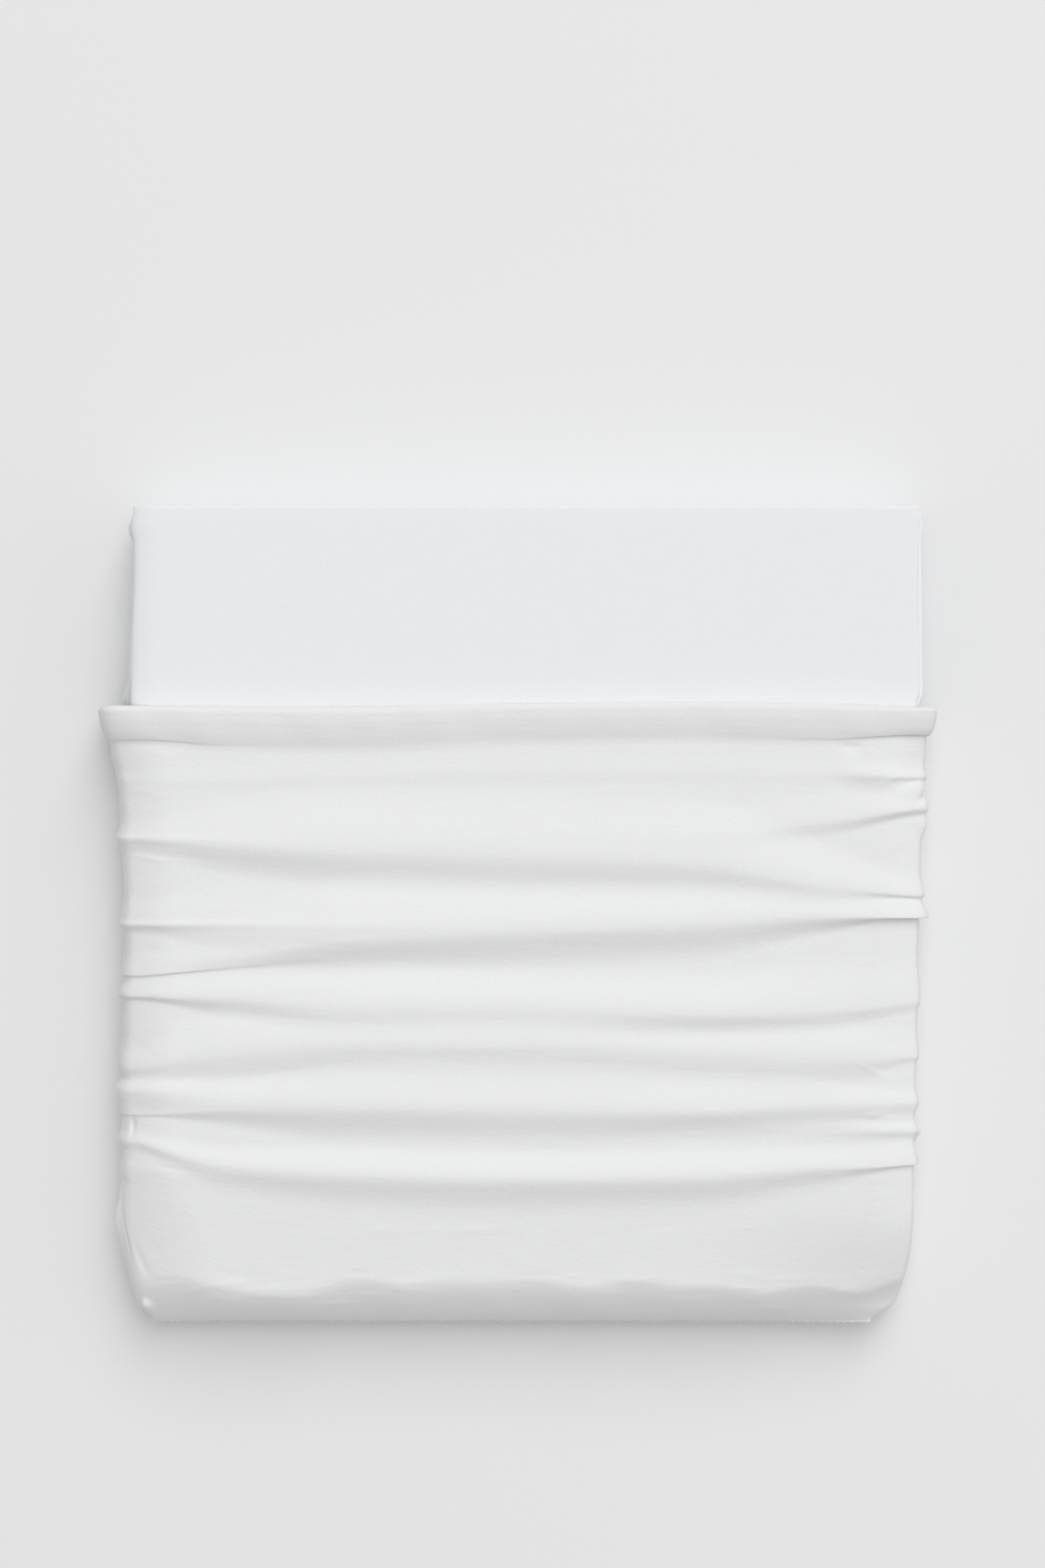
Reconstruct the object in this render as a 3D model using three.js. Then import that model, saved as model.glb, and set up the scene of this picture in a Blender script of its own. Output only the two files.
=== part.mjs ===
// A folded duvet cover lying flat, two thirds of it inside a pouch of the same soft knitted cotton.
// Millimetres, +Z up. +Y points out of the pouch's open end, +X to the right as seen from above.
// The origin is on the surface that it rests on, in the middle of its outline.
import * as THREE from "three";

// The cover is a strip folded back and forth. Each layer of it is the cover's width folded in six. The turns
// are the places along Y of the strip's loose end, its folds and its other loose end, from the bottom up.
const COVER = {
  thickness: 7.1,
  gap: 0.5,
  left: { flat: -160.6, edge: -166.7 },
  right: { flat: 172.1, edge: 175.4 },
};
const STRIP_TURNS = [-157.5, 176.5, -158.6, 177, -158.2, 177.4, -155.6];
const LAYER_INSETS = [0.3, 0.9, 0.4, 0.5, 0.2, 0.3];
const LOOSE_END = [
  { inset: 0, fullness: 0.5 },
  { inset: 1.6, fullness: 0.96 },
];
const LAYER_EDGE = [
  { inset: 0, fullness: 0.38 },
  { inset: 0.8, fullness: 0.76 },
  { inset: 3, fullness: 1 },
];
const EDGE_HEIGHT = 0.3;

// Where plies of the cover stand out of its sides: its far corners, and its left side at the pouch's mouth.
const SIDE_BUMPS = [
  { side: -1, y: 168, z: 34, reach: 2.4, along: 6, up: 13 },
  { side: 1, y: 169, z: 34, reach: 1.6, along: 6, up: 13 },
  { side: -1, y: 92, z: 18, reach: 5.2, along: 16, up: 22 },
];

// The pouch is a tube of the cloth, sewn shut across one end, with a thick turned hem round its mouth.
const CLOTH = 1.2;
const POUCH = { top: 48.8, seamHeight: 22, mouth: 91.5, seam: -177.4, squareness: 2.4 };
const END_CURVE = { topStart: -158, baseStart: -163 };
const SEAM_LIP = { outer: 0.9, inner: 0.25 };
const SEAM_GATHER = 1.5;
const ROOM = { under: 0.35, over: 0.8, shoulders: 1.5, sides: 1.6, freed: 6, freedOver: 15 };
const COVER_LIFT = { from: 126, full: 100 };

// The pouch's reach to either side at mid height, and where the flat of its top ends, without the folds.
const SECTIONS = [
  { y: 92, left: -177.9, flatLeft: -161, flatRight: 172.6, right: 177.8 },
  { y: 74, left: -176.2, flatLeft: -161.5, flatRight: 171.4, right: 177.6 },
  { y: 57, left: -171, flatLeft: -161.5, flatRight: 169.8, right: 176.8 },
  { y: 16, left: -169.2, flatLeft: -161.5, flatRight: 168.4, right: 175.4 },
  { y: -16, left: -168.6, flatLeft: -161.5, flatRight: 168, right: 174.4 },
  { y: -51, left: -170.2, flatLeft: -161.5, flatRight: 168, right: 173.8 },
  { y: -111, left: -170.2, flatLeft: -161, flatRight: 167, right: 172.4 },
  { y: -131, left: -173, flatLeft: -160, flatRight: 166, right: 172 },
  { y: -145, left: -171.8, flatLeft: -158, flatRight: 164, right: 170.6 },
  { y: -160, left: -168, flatLeft: -155, flatRight: 158, right: 167 },
  { y: -170, left: -165, flatLeft: -153, flatRight: 150, right: 161.5 },
  { y: -177.4, left: -159.5, flatLeft: -152, flatRight: 143, right: 150 },
];

// The hem's extra thickness, from the mouth's edge down to its foot, and how the mouth's edge wavers.
const HEM = [
  { down: 0, thickness: 0.9 },
  { down: 1.2, thickness: 2.6 },
  { down: 4.5, thickness: 3.6 },
  { down: 9.5, thickness: 3.1 },
  { down: 13, thickness: 1.3 },
  { down: 16.5, thickness: 0 },
];

// The sinking of the pack towards the sewn end, most of all at its right corner.
const SINKING = { whole: 3.2, corner: 2.6, cornerWidth: 110, from: -105, over: 60 };

// The folds, from the mouth to the seam. A crest's line, its height and the lengths of the slopes above and
// below it are given at places across the pouch, from its left edge to its right edge.
const CREST_PLACES = [-163, -125, -73, 2, 77, 132, 171];
const HEIGHT_PLACES = [-163, -125, 2, 132, 171];
const SLOPE_PLACES = [-163, 2, 171];
const MOUTH_EDGE = [-0.6, -0.2, -0.9, 0.4, 0.8, 0.3, -1];
const FOLDS = [
  {
    name: "faint tuck",
    crest: [58, 59, 60.5, 62.5, 62.5, 62, 62],
    height: [0.2, 0.3, 0.5, 0.7, 1.9],
    rise: [6, 9, 5],
    drop: [5, 6, 3.2],
  },
  {
    name: "right corner pleat",
    crest: [46, 46, 44, 40, 38, 44.5, 48],
    height: [0, 0, 0, 1.5, 3.9],
    rise: [9, 14, 6],
    drop: [5, 9, 4.2],
  },
  {
    name: "upper fold",
    crest: [34.2, 32.2, 31, 30, 27.4, 19, 10],
    height: [2.4, 2.6, 2.7, 1.7, 1.6],
    rise: [7, 27, 8],
    drop: [7, 18, 3],
  },
  {
    name: "left pleat",
    crest: [-3.1, -3.8, -4, -4, -4, -4, -4],
    height: [2, 1, 0, 0, 0],
    rise: [5, 8, 8],
    drop: [6, 8, 8],
  },
  {
    name: "second fold",
    crest: [-25, -18.6, -7.6, -3.4, -1.8, 0, 0],
    height: [1.7, 2.5, 3.7, 3.1, 4.2],
    rise: [18, 17, 7],
    drop: [3, 17, 3],
  },
  {
    name: "third fold",
    crest: [-33.6, -34.2, -36.5, -37.2, -40, -38.6, -34],
    height: [3.1, 2, 1.4, 2.2, 1.5],
    rise: [6, 17, 8],
    drop: [3.4, 8.5, 4],
  },
  {
    name: "fourth fold",
    crest: [-63.4, -58.2, -54, -54, -59.7, -62.3, -61.5],
    height: [1.4, 1.4, 1.6, 1.9, 1.2],
    rise: [12, 9, 5],
    drop: [5, 11.5, 4.4],
  },
  {
    name: "left crumple",
    crest: [-75.4, -76, -76, -76, -76, -76, -76],
    height: [2, 0.7, 0, 0, 0],
    rise: [4, 6, 6],
    drop: [3.5, 6, 6],
  },
  {
    name: "fifth fold",
    crest: [-84.4, -82, -78.5, -82, -83.3, -82, -79.2],
    height: [1.5, 2.6, 3.3, 2, 1.6],
    rise: [6, 15, 5],
    drop: [3, 14, 4.4],
  },
  {
    name: "right crumple",
    crest: [-91, -91, -91, -91, -90.5, -91.6, -92],
    height: [0, 0, 0, 1.2, 2.3],
    rise: [6, 6, 5],
    drop: [5, 6, 4],
  },
  {
    name: "last fold",
    crest: [-94, -105.6, -110, -112, -111.3, -107.2, -106],
    height: [2, 2.9, 5, 3.9, 2.3],
    rise: [6, 19, 8],
    drop: [7, 18, 3.2],
  },
  {
    name: "left heel crease",
    crest: [-131, -133, -134, -134, -134, -134, -134],
    height: [1.6, 0, 0, 0, 0],
    rise: [7, 7, 7],
    drop: [10, 8, 8],
  },
];
const FOLDS_FADE = { fromSeam: 4, nearSeam: 14, underSides: 0.75, sideRun: 26 };

// Mesh density: places round the pouch and along it, and places along and across the folded cover.
const SHOULDER_TURNS = [0.3, 0.55, 0.8];
const FLAT_TURNS = [0, 0.06, 0.14, 0.25, 0.38, 0.5, 0.62, 0.75, 0.86, 0.94, 1];
const BASE_TURNS = [2.55, 2, 1.5, 1, 0.45];
const END_STEPS = [0.32, 0.56, 0.76, 0.9, 0.975, 1];
const CLOSEST_ROWS = 0.8;
const LAYER_PLACES = [160, 126, 100, 84, 30, -40, -95, -130];
const LOOP_STEPS = 6;
const CROSS_PLACES = [0.25, 0.5, 0.75];

const { lerp, smoothstep, clamp } = THREE.MathUtils;

// A smooth curve through values at rising places. It never swings past them, and is level beyond its ends.
function curveThrough(places, values) {
  const steps = places.slice(1).map((place, i) => (values[i + 1] - values[i]) / (place - places[i]));
  const slopes = values.map((_, i) => {
    const before = steps[i - 1] ?? 0;
    const after = steps[i] ?? 0;
    return before * after > 0 ? (2 * before * after) / (before + after) : 0;
  });
  return (at) => {
    if (at <= places[0]) return values[0];
    const next = places.findIndex((place) => place >= at);
    if (next < 0) return values[values.length - 1];
    const i = next - 1;
    const span = places[next] - places[i];
    const t = (at - places[i]) / span;
    const left = 1 - t;
    return (
      values[i] * left * left * (1 + 2 * t) +
      values[next] * t * t * (1 + 2 * left) +
      span * t * left * (slopes[i] * left - slopes[next] * t)
    );
  };
}

const columnCurve = (rows, place, name) =>
  curveThrough(
    rows.map((row) => row[place]),
    rows.map((row) => row[name]),
  );
const sectionsUpwards = [...SECTIONS].reverse();
const reachLeft = columnCurve(sectionsUpwards, "y", "left");
const reachRight = columnCurve(sectionsUpwards, "y", "right");
const flatLeft = columnCurve(sectionsUpwards, "y", "flatLeft");
const flatRight = columnCurve(sectionsUpwards, "y", "flatRight");
const hemThickness = columnCurve(HEM, "down", "thickness");
const mouthWaver = curveThrough(CREST_PLACES, MOUTH_EDGE);
const folds = FOLDS.map((row) => ({
  crest: curveThrough(CREST_PLACES, row.crest),
  height: curveThrough(HEIGHT_PLACES, row.height),
  rise: curveThrough(SLOPE_PLACES, row.rise),
  drop: curveThrough(SLOPE_PLACES, row.drop),
}));

// How far the folds lift the cloth off the pack at a place across the pouch and along it.
function foldLift(across, y) {
  return folds.reduce((sum, fold) => {
    const above = y - fold.crest(across);
    const share = Math.abs(above) / (above > 0 ? fold.rise(across) : fold.drop(across));
    return share < 1 ? sum + fold.height(across) * Math.cos((share * Math.PI) / 2) ** 2 : sum;
  }, 0);
}

function sinking(x, y) {
  const towardsEnd = smoothstep(SINKING.from - y, 0, SINKING.over);
  const towardsCorner = smoothstep(x, flatRight(y) - SINKING.cornerWidth, flatRight(y));
  return towardsEnd * (SINKING.whole + SINKING.corner * towardsCorner);
}

// How full a section still is in the rounded end: 1 where the curve starts, 0 where it reaches the seam.
const endFullness = (y, start, reach) => Math.sqrt(1 - clamp((start - y) / (start - reach), 0, 1) ** 2);

// How far a rounded side reaches past the flat, as a share, at a share of its height.
const sideShare = (height) => (1 - clamp(height, 0, 1) ** POUCH.squareness) ** (1 / POUCH.squareness);

// The place across the pouch that a turn stands for, measured on over the shoulders and down the sides. A
// turn is 0 at the left edge, 1 and 2 where the flat of the top begins and ends, and 3 at the right edge.
function acrossAt(turn, y) {
  if (turn < 1) return flatLeft(y) - (1 - turn) * FOLDS_FADE.sideRun;
  if (turn > 2) return flatRight(y) + (turn - 2) * FOLDS_FADE.sideRun;
  return lerp(flatLeft(y), flatRight(y), turn - 1);
}

const fromEdge = (turn) => Math.min(turn, 3 - turn);

// A point of one of the pouch's faces: the outer one, or the inner one a cloth's thickness further in. The
// half is 1 over the seam's height and -1 under it.
function pouchPoint(half, turn, y, inset) {
  const onLeft = turn <= 1;
  const onFlat = turn >= 1 && turn <= 2;
  const flatEnd = onLeft ? flatLeft(y) : flatRight(y);
  const reach = onLeft ? reachLeft(y) + inset - flatEnd : reachRight(y) - inset - flatEnd;
  const angle = (Math.PI / 2) * fromEdge(turn);
  const x = onFlat ? acrossAt(turn, y) : flatEnd + reach * Math.cos(angle) ** (2 / POUCH.squareness);
  const rise = onFlat ? 1 : Math.sin(angle) ** (2 / POUCH.squareness);
  const seam = POUCH.seam + SEAM_GATHER * inset;
  const start = half > 0 ? END_CURVE.topStart : END_CURVE.baseStart;
  const height = half > 0 ? POUCH.top - POUCH.seamHeight - sinking(x, y) : POUCH.seamHeight;
  const lip = inset > 0 ? SEAM_LIP.inner : SEAM_LIP.outer;
  const full = Math.max((height - inset) * endFullness(y, start, seam), lip);
  const facing = onFlat
    ? new THREE.Vector3(0, 0, half)
    : new THREE.Vector3(Math.cos(angle) / reach, 0, (half * Math.sin(angle)) / full).normalize();

  const underneath = smoothstep(FOLDS_FADE.underSides - fromEdge(turn), 0, FOLDS_FADE.underSides);
  const kept = half > 0 ? 1 : underneath;
  const nearSeam = smoothstep(y - POUCH.seam - FOLDS_FADE.fromSeam, 0, FOLDS_FADE.nearSeam);
  const hem = inset > 0 ? 0 : hemThickness(POUCH.mouth + mouthWaver(x) - y);
  const lift = kept * (foldLift(acrossAt(turn, y), y) * nearSeam + hem);
  return new THREE.Vector3(x, y, POUCH.seamHeight + half * rise * full).addScaledVector(facing, lift);
}

// The rows of the pouch's mesh at one turn, from the mouth: the hem's steps, then the head, crest, middle and
// foot of each fold in order, and the steps of the rounded end.
function rowPlaces(turn, inset) {
  const across = acrossAt(turn, 0);
  const mouth = POUCH.mouth + mouthWaver(across);
  const marks = folds.flatMap((fold) => {
    const crest = fold.crest(across);
    const drop = fold.drop(across);
    return [crest + fold.rise(across) * 0.5, crest, crest - drop * 0.5, crest - drop];
  });
  const rows = [...HEM.map((step) => mouth - step.down), ...marks.sort((a, b) => b - a), END_CURVE.topStart];
  for (let i = 1; i < rows.length; i++) rows[i] = Math.min(rows[i], rows[i - 1] - CLOSEST_ROWS);
  const seam = POUCH.seam + SEAM_GATHER * inset;
  return [...rows, ...END_STEPS.map((step) => lerp(END_CURVE.topStart, seam, step))];
}

// One face of the pouch as closed rings round it, from the mouth to the seam.
function pouchRings(inset) {
  const shoulder = SHOULDER_TURNS.map((turn) => 3 - turn).reverse();
  const overTop = [0, ...SHOULDER_TURNS, ...FLAT_TURNS.map((turn) => 1 + turn), ...shoulder, 3];
  const places = [
    ...overTop.map((turn) => ({ half: 1, turn })),
    ...BASE_TURNS.map((turn) => ({ half: -1, turn })),
  ];
  const columns = places.map(({ half, turn }) =>
    rowPlaces(turn, inset).map((y) => pouchPoint(half, turn, y, inset)),
  );
  return columns[0].map((_, row) => columns.map((column) => column[row]));
}

// How far the cover reaches to one side at a height: its own soft edge, or less where the pouch holds it in.
function coverSide(side, y, z) {
  const own = side < 0 ? COVER.left : COVER.right;
  const height = z > POUCH.seamHeight ? POUCH.top - CLOTH - POUCH.seamHeight : POUCH.seamHeight - CLOTH;
  const share = sideShare(Math.abs(z - POUCH.seamHeight) / height);
  const bumps = SIDE_BUMPS.filter((bump) => bump.side === side).reduce((sum, bump) => {
    const away = Math.hypot((y - bump.y) / bump.along, (z - bump.z) / bump.up);
    return sum + bump.reach * smoothstep(1 - away, 0, 1);
  }, 0);
  const flat = side < 0 ? flatLeft(y) : flatRight(y);
  const edge = (side < 0 ? reachLeft(y) : reachRight(y)) - side * (CLOTH + ROOM.sides);
  const free = side * lerp(own.flat, own.edge, share) + bumps;
  const freed = smoothstep(y, POUCH.mouth, POUCH.mouth + ROOM.freedOver) * ROOM.freed;
  const held = side * lerp(flat, edge, share) - ROOM.shoulders + freed;
  return side * Math.min(free, held);
}

// The centre line of the folded strip, from its loose end at the bottom to the one at the top.
function stripStations() {
  const pitch = COVER.thickness + COVER.gap;
  const turnRoom = COVER.thickness + COVER.gap / 2;
  const stations = STRIP_TURNS.slice(1).flatMap((to, layer) => {
    const outward = to > STRIP_TURNS[layer] ? 1 : -1;
    const places = [STRIP_TURNS[layer] + outward * turnRoom, ...LAYER_PLACES, to - outward * turnRoom];
    places.sort((a, b) => outward * (a - b));
    const z = COVER.thickness / 2 + layer * pitch;
    const turned = outward > 0 ? 0 : Math.PI;
    const straight = places.map((y) => ({ layer, y, z, turned, fullness: 1 }));
    if (layer === STRIP_TURNS.length - 2) return straight;
    const loop = Array.from({ length: LOOP_STEPS - 1 }, (_, i) => {
      const angle = (Math.PI * (i + 1)) / LOOP_STEPS;
      return {
        layer: layer + (i + 1) / LOOP_STEPS,
        y: to + outward * ((pitch / 2) * Math.sin(angle) - turnRoom),
        z: z + (pitch / 2) * (1 - Math.cos(angle)),
        turned: outward > 0 ? angle : Math.PI - angle,
        fullness: 1,
      };
    });
    return [...straight, ...loop];
  });
  const looseEnd = (station, turn) =>
    LOOSE_END.map(({ inset, fullness }) => ({ ...station, y: turn + inset, fullness }));
  return [
    ...looseEnd(stations[0], STRIP_TURNS[0]),
    ...stations,
    ...looseEnd(stations[stations.length - 1], STRIP_TURNS[STRIP_TURNS.length - 1]).reverse(),
  ];
}

// Raises the cover over the pouch's cloth where it lies inside, and lowers it towards the sewn end.
function settled(x, y, z) {
  const top = POUCH.top - CLOTH - ROOM.over;
  const pile = LAYER_INSETS.length * (COVER.thickness + COVER.gap) - COVER.gap;
  const lift = (CLOTH + ROOM.under) * smoothstep(-y, -COVER_LIFT.from, -COVER_LIFT.full);
  return new THREE.Vector3(x, y, lift + (z * (top - lift - sinking(x, y))) / pile);
}

// The cover as closed rings, each one its whole back-and-forth section, from its left side to its right side.
function coverRings() {
  const stations = stripStations();
  const slices = [
    ...LAYER_EDGE.map((edge) => ({ ...edge, share: 0 })),
    ...CROSS_PLACES.map((share) => ({ inset: 0, fullness: 1, share })),
    ...[...LAYER_EDGE].reverse().map((edge) => ({ ...edge, share: 1 })),
  ];
  return slices.map(({ inset, fullness, share }) => {
    const face = (sign) => (station) => {
      const half = (COVER.thickness / 2) * fullness * station.fullness * sign;
      const y = station.y - Math.sin(station.turned) * half;
      const z = station.z + Math.cos(station.turned) * half;
      const [below, above] = [Math.floor(station.layer), Math.ceil(station.layer)];
      const layerInset = lerp(LAYER_INSETS[below], LAYER_INSETS[above], station.layer - below);
      const roundest = station.z + Math.sign(station.z - POUCH.seamHeight) * COVER.thickness * EDGE_HEIGHT;
      const left = coverSide(-1, station.y, roundest) + inset + layerInset;
      const right = coverSide(1, station.y, roundest) - inset - layerInset;
      return settled(lerp(left, right, share), y, z);
    };
    return [...stations.map(face(-1)), ...stations.map(face(1)).reverse()];
  });
}

// A closed solid from rings of as many points each, with a flat lid on its first ring and on its last one.
function loft(rings, flatten) {
  const count = rings[0].length;
  const triangles = [];
  for (let ring = 0; ring + 1 < rings.length; ring++) {
    for (let i = 0; i < count; i++) {
      const a = ring * count + i;
      const b = ring * count + ((i + 1) % count);
      triangles.push([a, b, b + count], [a, b + count, a + count]);
    }
  }
  [0, rings.length - 1].forEach((ring) => {
    const outline = rings[ring].map(flatten);
    const turnsLeft = THREE.ShapeUtils.area(outline) > 0;
    THREE.ShapeUtils.triangulateShape(outline, []).forEach(([a, b, c]) => {
      const faceLeft = THREE.ShapeUtils.area([outline[a], outline[b], outline[c]]) > 0;
      const sameWay = faceLeft === turnsLeft;
      const corners = sameWay === (ring > 0) ? [a, b, c] : [a, c, b];
      triangles.push(corners.map((corner) => corner + ring * count));
    });
  });
  const points = rings.flat();
  const cornerVolume = ([a, b, c]) => points[a].dot(points[b].clone().cross(points[c]));
  const volume = triangles.reduce((sum, corners) => sum + cornerVolume(corners), 0);
  if (volume < 0) triangles.forEach((corners) => corners.reverse());
  const geometry = new THREE.BufferGeometry().setFromPoints(points).setIndex(triangles.flat());
  geometry.computeVertexNormals();
  return geometry;
}

function named(name, geometry, finish) {
  const mesh = new THREE.Mesh(geometry, new THREE.MeshStandardMaterial({ metalness: 0, ...finish }));
  mesh.name = name;
  return mesh;
}

const group = new THREE.Group();
group.add(
  named(
    "cover_stack",
    loft(coverRings(), (point) => new THREE.Vector2(point.y, point.z)),
    { color: 0xe9ebee, roughness: 0.88 },
  ),
  named(
    "pouch",
    loft([...pouchRings(0).reverse(), ...pouchRings(CLOTH)], (point) => new THREE.Vector2(point.x, point.z)),
    { color: 0xf0f0ef, roughness: 0.94 },
  ),
);

export default group;
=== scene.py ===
"""A folded duvet cover lying flat, two thirds of it inside a pouch of the same soft jersey.

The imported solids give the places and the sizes. This script dresses them: the cover gets its plies and its
turned folds, the pouch its pleats, turned hem, side seam and sewn end, and both get a knitted finish. Lengths
are millimetres until a mesh is made, and every mesh is in metres. +Y points out of the pouch's open end and
+X to the right as seen from above.
"""

import logging
import math
from dataclasses import dataclass
from enum import Enum

import bpy
import numpy as np
from mathutils import Euler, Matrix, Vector


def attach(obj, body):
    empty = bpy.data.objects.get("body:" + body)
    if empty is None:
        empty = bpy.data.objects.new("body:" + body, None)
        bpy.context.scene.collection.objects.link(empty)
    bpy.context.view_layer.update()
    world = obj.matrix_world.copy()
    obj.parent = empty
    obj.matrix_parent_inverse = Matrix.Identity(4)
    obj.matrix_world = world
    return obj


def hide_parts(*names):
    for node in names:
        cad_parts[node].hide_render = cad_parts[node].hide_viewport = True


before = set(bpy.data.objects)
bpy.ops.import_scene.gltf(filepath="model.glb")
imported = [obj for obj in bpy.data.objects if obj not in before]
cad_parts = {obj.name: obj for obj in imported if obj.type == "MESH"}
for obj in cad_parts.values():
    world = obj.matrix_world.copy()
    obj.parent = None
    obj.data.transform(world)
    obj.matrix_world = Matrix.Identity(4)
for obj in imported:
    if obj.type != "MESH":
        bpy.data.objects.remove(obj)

LOG = logging.getLogger("folded_duvet_cover")
METRES = 0.001
BODY = "root"
CLOTH_MAP = "cloth"
TURNED = "turned_out"

Array = np.ndarray
Row = tuple[float, ...]
Wave = tuple[float, float, float | Array]


class Side(Enum):
    """One of the pack's two sides, as seen from above."""

    LEFT = -1
    RIGHT = 1


class Face(Enum):
    """The pouch's outer face, or the inner one a cloth's thickness further in."""

    OUTER = "outer"
    INNER = "inner"


class Glow(Enum):
    """A lamp that shines from far off in one direction, or one panel of light."""

    FAR = "SUN"
    PANEL = "AREA"


def smoothstep(value: Array, low: float | Array, high: float | Array) -> Array:
    """A soft step.

    Args:
        value: The values to grade.
        low: Where the step starts.
        high: Where the step ends.

    Returns:
        0 up to low, 1 from high on, and a smooth rise between them.
    """
    share = np.clip((value - low) / (high - low), 0.0, 1.0)
    return share * share * (3.0 - 2.0 * share)


def lerp(start: float | Array, end: float | Array, share: float | Array) -> Array:
    """Returns the value a share of the way from start to end."""
    return start + (end - start) * share


def waves(at: Array, *swings: Wave) -> Array:
    """Returns the sum of waves, each given by its height, its length for one radian, and its phase."""
    return sum(height * np.sin(at / length + phase) for height, length, phase in swings)


class SmoothCurve:
    """A smooth curve through values at rising places, never past them, and level beyond its ends."""

    def __init__(self, places: Row, values: Row, soft_ends: bool = True) -> None:
        """Works out the curve's slopes.

        Args:
            places: Where the values are, in rising order.
            values: One value for each place.
            soft_ends: Whether it levels out towards its ends, or runs on straight to them.
        """
        self.places = np.array(places, float)
        self.values = np.array(values, float)
        steps = np.diff(self.values) / np.diff(self.places)
        before, after = steps[:-1], steps[1:]
        same_way = before * after > 0
        total = np.where(same_way, before + after, 1.0)
        inner = np.where(same_way, 2.0 * before * after / total, 0.0)
        ends = (0.0, 0.0) if soft_ends else (steps[0], steps[-1])
        self.slopes = np.concatenate([ends[:1], inner, ends[1:]])

    def __call__(self, at: Array) -> Array:
        """Reads the curve.

        Args:
            at: The places.

        Returns:
            Its values there.
        """
        index = np.clip(np.searchsorted(self.places, at) - 1, 0, len(self.places) - 2)
        span = self.places[index + 1] - self.places[index]
        share = np.clip((at - self.places[index]) / span, 0.0, 1.0)
        left = 1.0 - share
        return (
            self.values[index] * left * left * (1.0 + 2.0 * share)
            + self.values[index + 1] * share * share * (1.0 + 2.0 * left)
            + span * share * left * (self.slopes[index] * left - self.slopes[index + 1] * share)
        )


class Signal:
    """A shader value that can stand in sums, products and powers, each of which adds its Math node."""

    def __init__(self, shader: "Shader", socket: bpy.types.NodeSocket) -> None:
        """Keeps the value's socket and the shader that it belongs to."""
        self.shader = shader
        self.socket = socket

    def _math(
        self, operation: str, first: "Signal | float", second: "Signal | float | None" = None
    ) -> "Signal":
        """Adds a Math node.

        Args:
            operation: The node's operation.
            first: Its first value.
            second: Its second value, where it takes one.

        Returns:
            The node's result.
        """
        inputs: dict[int | str, object] = {0: first}
        if second is not None:
            inputs[1] = second
        return self.shader.add("ShaderNodeMath", {"operation": operation}, inputs, "Value")

    def __add__(self, other: "Signal | float") -> "Signal":
        """Returns self + other."""
        return self._math("ADD", self, other)

    def __radd__(self, other: "Signal | float") -> "Signal":
        """Returns other + self."""
        return self._math("ADD", other, self)

    def __sub__(self, other: "Signal | float") -> "Signal":
        """Returns self - other."""
        return self._math("SUBTRACT", self, other)

    def __rsub__(self, other: "Signal | float") -> "Signal":
        """Returns other - self."""
        return self._math("SUBTRACT", other, self)

    def __mul__(self, other: "Signal | float") -> "Signal":
        """Returns self * other."""
        return self._math("MULTIPLY", self, other)

    def __rmul__(self, other: "Signal | float") -> "Signal":
        """Returns other * self."""
        return self._math("MULTIPLY", other, self)

    def sine(self) -> "Signal":
        """Returns the sine of the value."""
        return self._math("SINE", self)


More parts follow.
